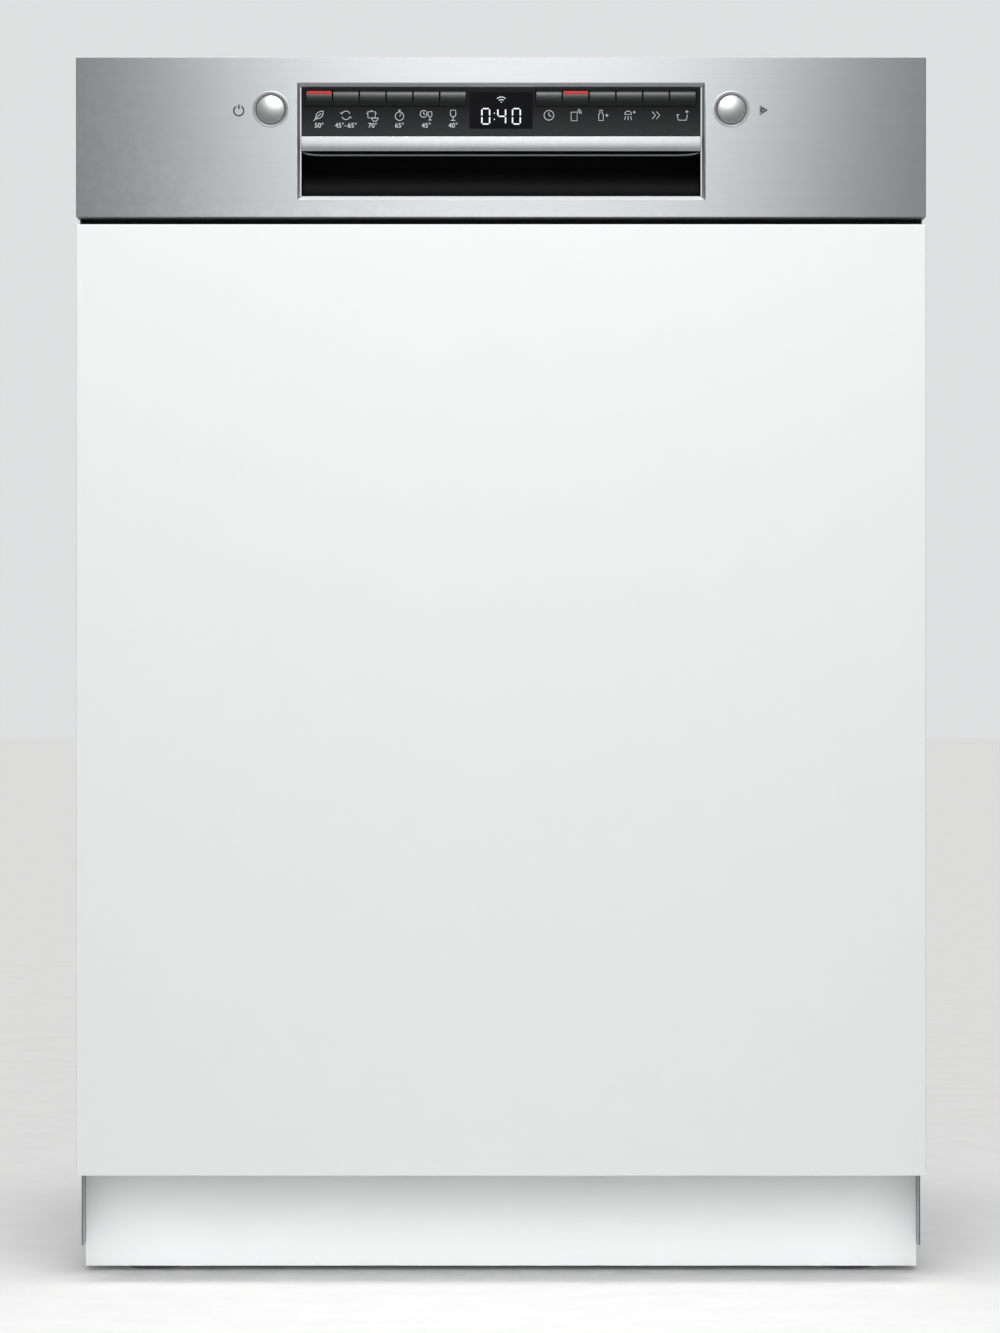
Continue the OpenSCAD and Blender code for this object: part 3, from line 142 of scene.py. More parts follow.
def noise(tree, spot, scale, detail, rough=0.5):
    """Outputs of a noise at a spot."""
    inputs = {"Vector": spot, "Scale": scale, "Detail": detail, "Roughness": rough}
    return add(tree, "TexNoise", inputs).outputs


def rise(tree, value, low, high):
    """Goes from 0 to 1 as the value goes from low to high."""
    return add(tree, "MapRange", {"Value": value, "From Min": low, "From Max": high}).outputs[0]


def between(tree, mask, ends):
    """Goes from one end to the other with the mask."""
    return add(tree, "MapRange", {"Value": mask, "To Min": ends[0], "To Max": ends[1]}).outputs[0]


def mix_colours(tree, mask, first, second):
    """Colour that goes from first to second with the mask."""
    return add(tree, "Mix", {0: mask, 6: first, 7: second}, data_type="RGBA").outputs[2]


def rgb(red, green=None, blue=None):
    """Linear colour with alpha. One number gives a grey."""
    return (red, red if green is None else green, red if blue is None else blue, 1.0)


def dim(colour, share):
    """The colour times share."""
    return tuple(part * share for part in colour[:3]) + (1.0,)


def shades(tree, mask, colour, low, high):
    """Goes from low times the colour to high times the colour with the mask."""
    return mix_colours(tree, mask, dim(colour, low), dim(colour, high))


def new_group(name, inputs, effect_of):
    """A shader group. effect_of makes its outputs from what the group is given and the place."""
    tree = bpy.data.node_groups.new(name, "ShaderNodeTree")
    for label, value in inputs.items():
        kind = "NodeSocketVector" if isinstance(value, tuple) else "NodeSocketFloat"
        tree.interface.new_socket(label, in_out="INPUT", socket_type=kind).default_value = value
    given = tree.nodes.new("NodeGroupInput").outputs
    made = effect_of(tree, given, add(tree, "TexCoord").outputs["Object"])
    for label in made:
        tree.interface.new_socket(label, in_out="OUTPUT", socket_type="NodeSocketFloat")
    result = tree.nodes.new("NodeGroupOutput").inputs
    for label, value in made.items():
        tree.links.new(value, result[label])
    return tree


def effect(tree, group, **inputs):
    """Puts an effect group in a material and returns its outputs."""
    return add(tree, "Group", inputs, node_tree=group).outputs


# ------------ shared effects

def brushed(tree, given, spot):
    """Fine lines drawn out along one axis. Lines per metre are given for X, Y and Z."""
    fine = vector_calc(tree, "MULTIPLY", spot, given["Lines"])
    broad = vector_calc(tree, "MULTIPLY", fine, (0.3, 0.17, 0.17))
    return {"Height": noise(tree, fine, 1.0, 2.0, 0.6)["Fac"],
            "Tone": noise(tree, broad, 1.0, 3.0, 0.55)["Fac"]}


def on_lathe(tree, given, spot):
    """Fine rings round the Y axis of a piece whose origin lies on that axis."""
    turn = calc(tree, "MULTIPLY", distance(tree, spot, (1.0, 0.0, 1.0)), given["Rings"])
    rings = add(tree, "TexNoise", {"W": turn, "Scale": 1.0, "Detail": 2.0}, noise_dimensions="1D")
    return {"Height": rings.outputs["Fac"]}


def moulded(tree, given, spot):
    """Moulded or sprayed surface: a fine grain and slow blotches."""
    return {"Height": noise(tree, spot, given["Grains"], 3.0)["Fac"],
            "Blotch": noise(tree, spot, 22.0, 4.0, 0.6)["Fac"]}


def rubbed_edges(tree, given, spot):
    """Light rub on outer edges, broken up by noise."""
    edge = rise(tree, add(tree, "NewGeometry").outputs["Pointiness"], 0.52, 0.62)
    patch = rise(tree, noise(tree, spot, 180.0, 3.0)["Fac"], 0.4, 0.7)
    return {"Mask": calc(tree, "MULTIPLY", calc(tree, "MULTIPLY", edge, patch), given["Amount"])}


def settled_dust(tree, given, spot):
    """Thin dust on faces that look up."""
    up = part_of(tree, add(tree, "NewGeometry").outputs["Normal"], "Z")
    layer = calc(tree, "MULTIPLY", rise(tree, up, 0.35, 0.95), noise(tree, spot, 60.0, 5.0)["Fac"])
    return {"Mask": calc(tree, "MULTIPLY", layer, given["Amount"])}


def zinc_crystals(tree, given, spot):
    """Crystal pattern of zinc on dipped sheet."""
    shift = vector_calc(tree, "MULTIPLY", noise(tree, spot, 90.0, 2.0)["Color"], (0.006, 0.006, 0.006))
    warped = vector_calc(tree, "ADD", spot, shift)
    cells = add(tree, "TexVoronoi", {"Vector": warped, "Scale": given["Crystals"]}).outputs
    return {"Tone": part_of(tree, cells["Color"], "X"), "Height": cells["Distance"]}


def round_holes(tree, given, spot):
    """Round holes in rows, for a sieve that lies flat. The mask is 0 in a hole."""
    scaled = add(tree, "VectorMath", {0: spot, "Scale": given["Rows"]}, operation="SCALE").outputs[0]
    centred = vector_calc(tree, "ADD", vector_calc(tree, "FRACTION", scaled), (-0.5, -0.5, 0.0))
    return {"Mask": rise(tree, distance(tree, centred, (1.0, 1.0, 0.0)), 0.24, 0.3)}


BRUSHING = new_group("brushing", {"Lines": (40.0, 9000.0, 9000.0)}, brushed)
TURNING = new_group("turning", {"Rings": 3000.0}, on_lathe)
GRAIN = new_group("grain", {"Grains": 1500.0}, moulded)
WEAR = new_group("edge wear", {"Amount": 0.5}, rubbed_edges)
DUST = new_group("settled dust", {"Amount": 0.3}, settled_dust)
SPANGLE = new_group("spangle", {"Crystals": 140.0}, zinc_crystals)
HOLES = new_group("sieve holes", {"Rows": 400.0}, round_holes)


# ------------ finishes

def blank(name, **sockets):
    """A material with its shader, and the values that are the same all over set on the shader."""
    material = bpy.data.materials.new(name)
    material.use_nodes = True
    tree = material.node_tree
    shader = tree.nodes["Principled BSDF"]
    for label, value in sockets.items():
        shader.inputs[label.replace("_", " ")].default_value = value
    return material, tree, shader


def cover(tree, shader, colour, rough, height=None, depth=0.0):
    """Gives the shader its colour and roughness, and relief of that depth from a height from 0 to 1."""
    tree.links.new(colour, shader.inputs["Base Color"])
    tree.links.new(rough, shader.inputs["Roughness"])
    if height:
        relief = add(tree, "Bump", {"Height": height, "Distance": depth, "Strength": 1.0})
        tree.links.new(relief.outputs[0], shader.inputs["Normal"])


def surface(name, colour, rough, depth, group, value, by, spread, wear=None, dust=None, **sockets):
    """A finish from an effect group. by names what shade, roughness and relief follow."""
    material, tree, shader = blank(name, **sockets)
    made = add(tree, "Group", {0: value}, node_tree=group).outputs
    tone, dull, height = (made[label] for label in by)
    shade = shades(tree, tone, colour, *spread)
    for film, given in ((WEAR, wear), (DUST, dust)):
        if given:
            mask = effect(tree, film, Amount=given[0])["Mask"]
            shade = mix_colours(tree, mask, shade, given[1])
    cover(tree, shader, shade, between(tree, dull, rough), height, depth)
    if "Anisotropic" in sockets:
        way = add(tree, "Tangent", direction_type="RADIAL", axis="X").outputs[0]
        tree.links.new(way, shader.inputs["Tangent"])
    return material


def brushed_metal(name, colour, lines, rough, depth=2e-6, **drawn):
    """Metal sheet or bar with drawn lines, duller and brighter bands and rubbed edges."""
    return surface(name, colour, rough, depth, BRUSHING, lines, ("Tone", "Height", "Height"), (0.93, 1.05),
                   (0.3, dim(colour, 1.25)), Metallic=1.0, **drawn)


def turned_metal(name, colour, rough, rings, metal):
    """Metal, or metal paint, turned on a lathe round the piece's own Y axis."""
    return surface(name, colour, rough, 1e-6, TURNING, rings, ["Height"] * 3, (0.95, 1.04), Metallic=metal)


def zinc_metal(name, colour, crystals, rough, depth):
    """Galvanised or zinc-plated steel."""
    return surface(name, colour, rough, depth, SPANGLE, crystals, ("Tone", "Tone", "Height"), (0.94, 1.05),
                   dust=(0.25, rgb(0.42, 0.41, 0.39)), Metallic=1.0)


def lacquer(name, colour, rough, coat, grains, depth):
    """Sprayed lacquer with a light orange peel."""
    return surface(name, colour, rough, depth, GRAIN, grains, ("Blotch", "Blotch", "Height"), (0.985, 1.0),
                   dust=(0.15, rgb(0.6, 0.59, 0.57)), Coat_Weight=coat, Coat_Roughness=0.18)


def moulding(name, colour, rough, depth=8e-6, wear=0.4, dust=0.25, **sockets):
    """Moulded plastic or rubber with a fine grain, rubbed edges and some dust."""
    lighter = tuple(min(1.0, part * 1.25 + 0.02) for part in colour[:3]) + (1.0,)
    return surface(name, colour, rough, depth, GRAIN, 1800.0, ("Blotch", "Blotch", "Height"), (0.92, 1.06),
                   (wear, lighter), (dust, rgb(0.45, 0.44, 0.42)), **sockets)


def black_with_painted_reflection(name, low, high):
    """Glossy black moulding with a painted reflection that pales it towards the foot of the key strip, between
    two heights in metres, and painted shade that keeps it darkest at the top under the rim.
    """
    material, tree, shader = blank(name, Specular_IOR_Level=0.3)
    grain = effect(tree, GRAIN, Grains=1800.0)
    height = part_of(tree, add(tree, "TexCoord").outputs["Object"], "Z")
    above = calc(tree, "GREATER_THAN", height, low)
    tone = calc(tree, "MULTIPLY", rise(tree, height, high, low), above)
    # painted reflection and shade: the colour goes from 0.004 at the top of the strip to 0.03 at its foot
    pale = mix_colours(tree, tone, rgb(0.004, 0.004, 0.005), rgb(0.03, 0.031, 0.032))
    cover(tree, shader, pale, between(tree, above, (0.62, 0.24)), grain["Height"], 1e-6)
    return material


def sieve(name, colour):
    """Stainless sheet with round holes."""
    material, tree, shader = blank(name, Metallic=1.0)
    lined = effect(tree, BRUSHING, Lines=(60.0, 2500.0, 2500.0))
    rough = between(tree, lined["Height"], (0.26, 0.36))
    cover(tree, shader, shades(tree, lined["Tone"], colour, 0.9, 1.0), rough)
    tree.links.new(effect(tree, HOLES, Rows=330.0)["Mask"], shader.inputs["Alpha"])
    return material


def circuit_board(name):
    """Green solder mask with paler tracks and pads."""
    material, tree, shader = blank(name)
    grain = effect(tree, GRAIN, Grains=900.0)
    spot = add(tree, "TexCoord").outputs["Object"]
    tracks = add(tree, "TexBrick", {"Vector": spot, "Scale": 160.0, "Mortar Size": 0.012}).outputs["Fac"]
    mask = mix_colours(tree, tracks, rgb(0.012, 0.09, 0.035), rgb(0.05, 0.2, 0.08))
    cover(tree, shader, mask, between(tree, grain["Blotch"], (0.3, 0.45)), tracks, 2e-5)
    return material


def glowing(name, colour, strength):
    """Lit lens or segment with slightly uneven light."""
    material, tree, shader = blank(name, Roughness=0.3, Emission_Strength=strength)
    blotch = effect(tree, GRAIN, Grains=700.0)["Blotch"]
    tree.links.new(shades(tree, blotch, colour, 0.3, 0.4), shader.inputs["Base Color"])
    tree.links.new(shades(tree, blotch, colour, 0.9, 1.0), shader.inputs["Emission Color"])
    return material


def make_finishes():
    """One finish for each of the record's material slots, and a few for prints and lights."""
    steel = rgb(0.68, 0.685, 0.68)
    satin = rgb(0.5, 0.505, 0.51)
    FINISHES.update({
        "fascia_steel": brushed_metal("brushed fascia", rgb(0.382, 0.395, 0.398), (30.0, 9000.0, 9000.0),
                                      (0.41, 0.46), Anisotropic=0.93),
        "black_gloss": moulding("black gloss", rgb(0.012, 0.0125, 0.014), (0.26, 0.34), 2e-6, 0.15, 0.06,
                                Specular_IOR_Level=0.4),
        "bright_bar": brushed_metal("bright bar", rgb(0.5, 0.51, 0.52), (40.0, 6000.0, 6000.0), (0.36, 0.42),
                                    depth=1e-6),
        "satin_button": turned_metal("satin button", rgb(0.57, 0.575, 0.58), (0.36, 0.42), 4000.0, 0.85),
        "key_black": moulding("key black", rgb(0.009, 0.0095, 0.0105), (0.26, 0.34), 3e-6, dust=0.05),
        "board_green": circuit_board("circuit board"),
        "white_lacquer": lacquer("white lacquer", rgb(0.885, 0.9, 0.902), (0.34, 0.42), 0.25, 700.0, 6e-6),
        "plinth_white": lacquer("plinth white", rgb(0.9, 0.915, 0.915), (0.4, 0.5), 0.1, 900.0, 8e-6),
        "stainless": brushed_metal("stainless sheet", steel, (2500.0, 2500.0, 60.0), (0.32, 0.44)),
        "galvanised": zinc_metal("galvanised sheet", rgb(0.56, 0.57, 0.58), 190.0, (0.42, 0.5), 4e-6),
        "hinge_steel": zinc_metal("plated steel", rgb(0.58, 0.58, 0.56), 420.0, (0.32, 0.42), 2e-6),
        "grey_plastic": moulding("grey plastic", rgb(0.16, 0.165, 0.17), (0.4, 0.55)),
        "pale_plastic": moulding("pale plastic", rgb(0.55, 0.56, 0.56), (0.36, 0.5)),
        "dark_plastic": moulding("dark plastic", rgb(0.035, 0.036, 0.038), (0.45, 0.6)),
        "blue_plastic": moulding("blue plastic", rgb(0.03, 0.12, 0.42), (0.3, 0.42)),
        "seal_rubber": moulding("seal rubber", rgb(0.02, 0.02, 0.021), (0.6, 0.8), wear=0.2, dust=0.4),
        "coated_wire": moulding("coated wire", rgb(0.34, 0.36, 0.37), (0.3, 0.4), 4e-6, dust=0.1),
        "perforated": sieve("perforated sheet", steel),
        # painted reflection: the key strip's black pales towards its foot, with painted shade at its top
        "strip_black_painted_reflection": black_with_painted_reflection("strip black painted reflection", place("handle_bar")[1].z * MM,
                                    place("program_key_1")[0].z * MM),
        # painted highlights: pale copies of the fascia steel for the facings on the sides and foot of the
        # cut-out's bevel
        "rim_side_painted_highlight": turned_metal("rim side painted highlight", rgb(0.92, 0.925, 0.93), (0.36, 0.42), 900.0, 0.1),
        "rim_foot_painted_highlight": turned_metal("rim foot painted highlight", satin, (0.42, 0.48), 900.0, 0.5),
        # painted light: lighter, half-matt copy of the fascia steel for the sunk rings round the buttons
        "dish_steel_painted_light": turned_metal("dish steel painted light", satin, (0.4, 0.46), 3000.0, 0.5),
        # painted highlight: the black lip under the bar is painted dark grey
        "grip_grey_painted_highlight": moulding("grip lip painted highlight", rgb(0.1, 0.102, 0.105), (0.3, 0.4), wear=0.1, dust=0.05),
        "window": moulding("smoked window", rgb(0.006, 0.006, 0.007), (0.1, 0.14), 5e-7, 0.05, 0.03),
        "print": moulding("white print", rgb(0.62, 0.64, 0.65), (0.5, 0.6), 1e-6, dust=0.0),
        "dark_print": moulding("dark print", rgb(0.03, 0.031, 0.033), (0.5, 0.6), 1e-6, dust=0.0),
        "lit_digits": glowing("lit digits", rgb(0.9, 0.95, 1.0), 0.9),
        "lit_red": glowing("lit red lens", rgb(0.55, 0.02, 0.018), 0.55),
    })


# ------------ mesh helpers

def linked(name, mesh):
    """A linked object with a mesh."""
    piece = bpy.data.objects.new(name, mesh)
    bpy.context.scene.collection.objects.link(piece)
    return piece


def mesh_of(name, shape, scale=MM, recalc=True):
    """A mesh in metres made from a bmesh, which is freed."""
    bmesh.ops.scale(shape, vec=(scale, scale, scale), verts=shape.verts)
    if recalc:
        bmesh.ops.recalc_face_normals(shape, faces=shape.faces)
    mesh = bpy.data.meshes.new(name)
    shape.to_mesh(mesh)
    shape.free()
    return mesh


def finish_piece(piece, node, slot=None, finish=None, replaces=False):
    """Gives a piece its body, its slot and its finish: those of a node, unless others are named."""
    slot = slot or SLOT_OF[node]
    piece.data.materials.clear()
    piece.data.materials.append(FINISHES[finish or slot])
    for polygon in piece.data.polygons:
        polygon.material_index = 0
    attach(piece, body_of(node))
    if replaces:
        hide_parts(node)
    return piece


def make_piece(shape, node, part="piece", edge=0.0, steps=2, angle=35.0, clamp=False, origin=(0.0, 0.0, 0.0),
               name=None, **look):
    """A smooth piece. Corners over the angle are rounded by edge, or kept sharp where there is none."""
    name = name or f"{node}_{part}"
    mesh = shape if isinstance(shape, bpy.types.Mesh) else mesh_of(name, shape)
    piece = linked(name, mesh)
    piece.location = Vector(origin) * MM
    mesh.shade_smooth()
    if edge:
        bevel = piece.modifiers.new("rounded edges", "BEVEL")
        bevel.width = edge * MM
        bevel.segments = steps
        bevel.limit_method = "ANGLE"
        bevel.angle_limit = math.radians(angle)
        bevel.use_clamp_overlap = clamp
        bevel.miter_outer = "MITER_ARC"
    elif angle:
        mesh.set_sharp_from_angle(angle=math.radians(angle))
    if angle:
        flats = piece.modifiers.new("flat faces", "WEIGHTED_NORMAL")
        flats.weight = 80
        flats.keep_sharp = True
    return finish_piece(piece, node, replaces=part in STAND_INS, **look)


def refined(node, edge=0.3, steps=2, clamp=False, finish=None, flat=None):
    """A node's own form with rounded edges. flat is the axis whose faces are shaded flat."""
    shape = bmesh.new()
    shape.from_mesh(frame["nodes"][node].data)
    bmesh.ops.remove_doubles(shape, verts=shape.verts, dist=1e-6)
    bmesh.ops.dissolve_limit(shape, angle_limit=math.radians(0.5), verts=shape.verts, edges=shape.edges)
    piece = make_piece(mesh_of(node + "_piece", shape, 1.0, False), node, "piece", edge, steps, clamp=clamp,
                       finish=finish)
    for polygon in piece.data.polygons if flat is not None else ():
        if abs(polygon.normal[flat]) > 0.99:
            polygon.use_smooth = False


def bridge(shape, rings, closed=False):
    """Joins rings of vertices by faces, and closes the row of rings or its two ends."""
    for first, second in zip(rings, rings[1:] + (rings[:1] if closed else [])):
        for step in range(max(len(first), len(second))):
            around = ((first, step), (first, step + 1), (second, step + 1), (second, step))
            corners = list(dict.fromkeys(ring[index % len(ring)] for ring, index in around))
            if len(corners) > 2:
                shape.faces.new(corners)
    for ring in () if closed else (rings[0], rings[-1]):
        if len(ring) > 1:
            shape.faces.new(ring)


def ring_at(shape, spot, side, up, radius, steps):
    """Ring of vertices round a spot."""
    turns = [2 * math.pi * step / steps for step in range(steps)]
    return [shape.verts.new(spot + (side * math.cos(turn) + up * math.sin(turn)) * radius) for turn in turns]


def add_prism(shape, rings):
    """Adds a solid between two like outlines."""
    bridge(shape, [[shape.verts.new(spot) for spot in ring] for ring in rings])


def add_block(shape, first, second):
    """Adds a block between two opposite corners."""
    spans = [sorted(pair) for pair in zip(first, second)]
    points = [shape.verts.new((x, y, z)) for x in spans[0] for y in spans[1] for z in spans[2]]
    for ring in ((0, 1, 3, 2), (4, 6, 7, 5), (0, 4, 5, 1), (2, 3, 7, 6), (0, 2, 6, 4), (1, 5, 7, 3)):
        shape.faces.new([points[index] for index in ring])


def add_turned(shape, profile, centre, axis="Y", steps=48):
    """Adds a turned form. The profile lists (radius, place along the axis), and closes if its ends meet."""
    closed = profile[0] == profile[-1]
    units = {letter: Vector(row) for letter, row in zip("XYZ", Matrix.Identity(3))}
    along = units.pop(axis)
    side, up = units.values()
    rings = [ring_at(shape, Vector(centre) + along * reach, side, up, radius, steps if radius > 1e-4 else 1)
             for radius, reach in (profile[:-1] if closed else profile)]
    bridge(shape, rings, closed)


def turned(node, part, profile, spots, axis="Y", steps=48, **look):
    """A part of a node that is turned, or a group of like ones at several spots."""
    shape = bmesh.new()
    for spot in spots:
        add_turned(shape, profile, spot, axis, steps)
    make_piece(shape, node, part, **look)


def arc(centre, radius, start, end, steps=8):
    """Points on an arc in a plane, from start to end in degrees."""
    turns = [math.radians(start + (end - start) * step / steps) for step in range(steps + 1)]
    return [(centre[0] + radius * math.cos(turn), centre[1] + radius * math.sin(turn)) for turn in turns]


def bent(points, radius, steps=4):
    """A path with its corners rounded."""
    points = [Vector(point) for point in points]
    path = [points[0]]
    for before, corner, after in zip(points, points[1:], points[2:]):
        start = corner + (before - corner).normalized() * radius
        end = corner + (after - corner).normalized() * radius
        for step in range(steps + 1):
            share = step / steps
            path.append(start.lerp(corner, share).lerp(corner.lerp(end, share), share))
    return path + [points[-1]]


def add_wire(shape, path, radius, sides=8, closed=False):
    """Sweeps a round wire along a path."""
    path = [Vector(spot) for spot in path]
    rings, up = [], None
    for index, spot in enumerate(path):
        before = path[index - 1] if index or closed else spot
        after = path[(index + 1) % len(path)] if index < len(path) - 1 or closed else spot
        along = (after - before).normalized()
        up = along.orthogonal() if up is None else up
        up = (up - along * up.dot(along)).normalized()
        rings.append(ring_at(shape, spot, up, along.cross(up), radius, sides))
    bridge(shape, rings, closed)


def wires(node, part, paths, radius, sides=8, angle=None, **look):
    """A part of a node that is made of round wires, each along its path."""
    shape = bmesh.new()
    for path in paths:
        add_wire(shape, path, radius, sides)
    make_piece(shape, node, part, angle=angle, **look)


def add_bead(shape, path, normal, width, height, steps=6):
    """Adds a raised pressed bead along a closed path on a sheet with that normal."""
    normal = Vector(normal)
    root = 0.05
    rings = []
    for index, spot in enumerate(path):
        along = (Vector(path[(index + 1) % len(path)]) - Vector(path[index - 1])).normalized()
        side = along.cross(normal) * width / 2
        turns = [math.pi * step / steps for step in range(steps + 1)]
        rings.append([shape.verts.new(Vector(spot) + side * math.cos(turn)
                                      + normal * (math.sin(turn) * height - root)) for turn in turns])
    bridge(shape, rings, True)


def loop(low, high, radius, steps=6):
    """Rounded rectangle in a plane, as (u, v) points without a repeated end."""
    (u0, v0), (u1, v1) = low, high
    corners = ((u1 - radius, v1 - radius), (u0 + radius, v1 - radius), (u0 + radius, v0 + radius),
               (u1 - radius, v0 + radius))
    return [spot for number, corner in enumerate(corners)
            for spot in arc(corner, radius, 90 * number, 90 * number + 90, steps)]


def pressed_sheet(node, span_u, span_v, fields, depth, thickness, put):
    """A sheet with sunk fields. put turns (u, v, height) into a place, with height outwards."""
    slope = 4.0
    inner = [[(start + slope, end - slope) for start, end in field] for field in fields]
    us, vs = (sorted({*span} | {cut for field in fields + inner for cut in field[way]})
              for way, span in enumerate((span_u, span_v)))
    shape = bmesh.new()
    sides = []
    for lift in (0.0, -thickness):
        rows = []
        for u in us:
            sunk = [any(a <= u <= b and c <= v <= d for (a, b), (c, d) in inner) for v in vs]
            rows.append([shape.verts.new(put(u, v, lift - depth * low)) for v, low in zip(vs, sunk)])
        sides.append(rows)
        for i in range(len(us) - 1):
            for j in range(len(vs) - 1):
                shape.faces.new((rows[i][j], rows[i + 1][j], rows[i + 1][j + 1], rows[i][j + 1]))
    front, back = sides
    last_u, last_v = len(us) - 1, len(vs) - 1
    rim = [(i, 0) for i in range(last_u)] + [(last_u, j) for j in range(last_v)]
    rim += [(i, last_v) for i in range(last_u, 0, -1)] + [(0, j) for j in range(last_v, 0, -1)]
    for (a, b), (c, d) in zip(rim, rim[1:] + rim[:1]):
        shape.faces.new((front[a][b], front[c][d], back[c][d], back[a][b]))
    make_piece(shape, node, "sheet", 0.9, angle=12.0)


def mirrored(first, second):
    """A block between two corners on each side of the middle."""
    return [((side * first[0], *first[1:]), (side * second[0], *second[1:])) for side in SIDES]


def fitting(node, part, slot, blocks=(), bars=(), edge=0.5, name=None):
    """A part of a node made of blocks and turned bars. A bar lists axis, radius, its two ends and centre."""
    shape = bmesh.new()
    for first, second in blocks:
        add_block(shape, first, second)
    for axis, radius, *ends, centre in bars:
        rim = min(edge, radius / 3)
        start, end = sorted(ends)
        profile = [(radius - rim, start), (radius, start + rim), (radius, end - rim), (radius - rim, end)]
        add_turned(shape, profile, centre, axis, 32)
    make_piece(shape, node, part, edge, angle=40.0, slot=slot, name=name)


# ------------ fascia and keys

BEVEL = 2.8
CUT_OUT_DROP = 17.9
CUT_OUT_HEIGHT = 82.0


def round_button(node):
    """Domed satin button on its stem, and a conical ring sunk in the fascia round it, painted lighter than the
    fascia steel as painted light.
    """
    low, high = place(node)
    centre = middle(node)
    radius = radius_of(node)
    stem, crown, head, depth = radius * 0.4, 1.3, 5.7, high.y - low.y
    profile = [(radius * step / 12, crown * (step / 12) ** 2) for step in range(12)]
    profile += [(radius - 0.25, crown), (radius, crown + 0.4), (radius, head), (stem, head), (stem, depth),
                (0.0, depth)]
    turned(node, "piece", profile, [(0.0, low.y, 0.0)], steps=64, angle=50.0,
           origin=(centre.x, 0.0, centre.z))
    hole, mouth, sunk = radius + 0.45, 12.2, 1.75
    rim = (mouth + 0.7, 0.0)
    profile = [rim, (mouth, -0.15), (hole, sunk), (hole, sunk + 0.3), (mouth, sunk), rim]
    # painted light: the ring is the fascia's steel, painted lighter and half matt so it shows grey as if lit
    turned("control_fascia", "dish", profile, [(0.0, 0.0, 0.0)], steps=64, finish="dish_steel_painted_light",
           origin=(centre.x, place("control_fascia")[0].y, centre.z), name=node + "_dish")


def painted_rim_highlights():
    """Thin facings on the sides and the foot of the cut-out's bevel, paler than the fascia's steel: painted
    highlights where the bevel catches the light.
    """
    low, high = place("control_fascia")
    half = place("handle_bar")[1].x + 0.2
    outer, overlap, lift = half + BEVEL, 0.25, 0.06
    top = high.z - CUT_OUT_DROP
    foot = top - CUT_OUT_HEIGHT
    highlight_facings = {f"rim_{word}": [(side * (outer + overlap), top), (side * half, top - BEVEL),
                               (side * half, foot + BEVEL), (side * (outer + overlap), foot)]
               for side, word in SIDES.items()}
    highlight_facings["rim_foot_painted_highlight"] = [(-outer, foot), (-half, foot + BEVEL), (half, foot + BEVEL), (outer, foot)]
    for name, corners in highlight_facings.items():
        shape = bmesh.new()
        sunk = (0.0, BEVEL, BEVEL, 0.0)
        add_prism(shape, [[(x, low.y + back + depth, z) for (x, z), depth in zip(corners, sunk)]
                          for back in (-lift, lift)])
        finish_piece(linked(name, mesh_of(name, shape)), "control_fascia",
                     finish="rim_foot_painted_highlight" if name == "rim_foot_painted_highlight" else "rim_side_painted_highlight")


def add_leaning_bar(shape, node, crest, start, drop, leans, back, tail=()):
    """Adds a bar as wide as its node, whose front goes down in like steps, each with its own lean."""
    low, high = place(node)
    y, z = start
    front = [crest, start]
    for lean in leans:
        y, z = y - math.tan(math.radians(lean)) * drop, z - drop
        front.append((y, z))
    front += [(y + inwards, low.z + lift) for inwards, lift in tail]
    out = low.y - min(front)[0]
    outline = [(y + out, z) for y, z in front] + [(back, low.z), (back, high.z)]
    add_prism(shape, [[(x, y, z) for y, z in outline] for x in (low.x, high.x)])


def handle_bar():
    """Bar over the grip pocket: its face leans from slightly up to slightly down, over a bottom facet."""
    low, high = place("handle_bar")
    y, ridge, rows = low.y + 0.9, 0.15, 12
    drop = ((high.z - low.z) * 0.76 - ridge) / rows
    leans = [2.3 - 5.0 * ((row + 0.5) / rows) ** 3 for row in range(rows)]
    shape = bmesh.new()
    add_leaning_bar(shape, "handle_bar", (y + ridge, high.z), (y, high.z - ridge), drop, leans, high.y,
                    ((1.5, 0.2), (2.2, 0.0)))
    make_piece(shape, "handle_bar", angle=24.0)


def grip_lip():
    """Slim lip under the bar, whose ends bow up, painted dark grey over its black moulding as a painted
    highlight along its edge.
    """
    low, high = place("handle_bar")
    y = place("panel_housing")[0].y + 1.5
    bow = ((0, 2.2), (3, 0.9), (8, 0.2), (16, 0))
    half = [(high.x - 0.6 - inwards, low.z - 2.6 + lift) for inwards, lift in bow]
    path = [(-x, y, z) for x, z in half] + [(x, y, z) for x, z in half[::-1]]
    wires("panel_housing", "lip", [path], 0.7, 10, finish="grip_grey_painted_highlight", name="grip_lip")


def key_cap(node, lit):
    """Key with a crowned front and, where lit, a red lens along its top."""
    low, high = place(node)
    centre = middle(node)
    facet, rows, stem, lens = 1.1, 10, 2.0, 2.6
    back = low.y + 5.0
    shape = bmesh.new()
    leans = [8 - 20 * (row + 0.5) / rows for row in range(rows)]
    add_leaning_bar(shape, node, (low.y + facet / 2, high.z), (low.y, high.z - facet),
                    (high.z - facet - low.z) / rows, leans, back)
    add_block(shape, (centre.x - stem, back - 0.5, centre.z - stem),
              (centre.x + stem, high.y, centre.z + stem))
    make_piece(shape, node, edge=0.25, angle=28.0)
    if lit:
        strip = bmesh.new()
        add_block(strip, (low.x + 0.4, low.y, high.z - lens), (high.x - 0.4, low.y + 2.0, high.z - 0.2))
        make_piece(strip, node, "lens", 0.25, finish="lit_red")


def curve_mesh(curve):
    """Mesh of a curve or a text, which is removed."""
    drawing = linked(curve.name + "_line", curve)
    mesh = bpy.data.meshes.new_from_object(drawing)
    bpy.data.objects.remove(drawing)
    bpy.data.curves.remove(curve)
    return mesh


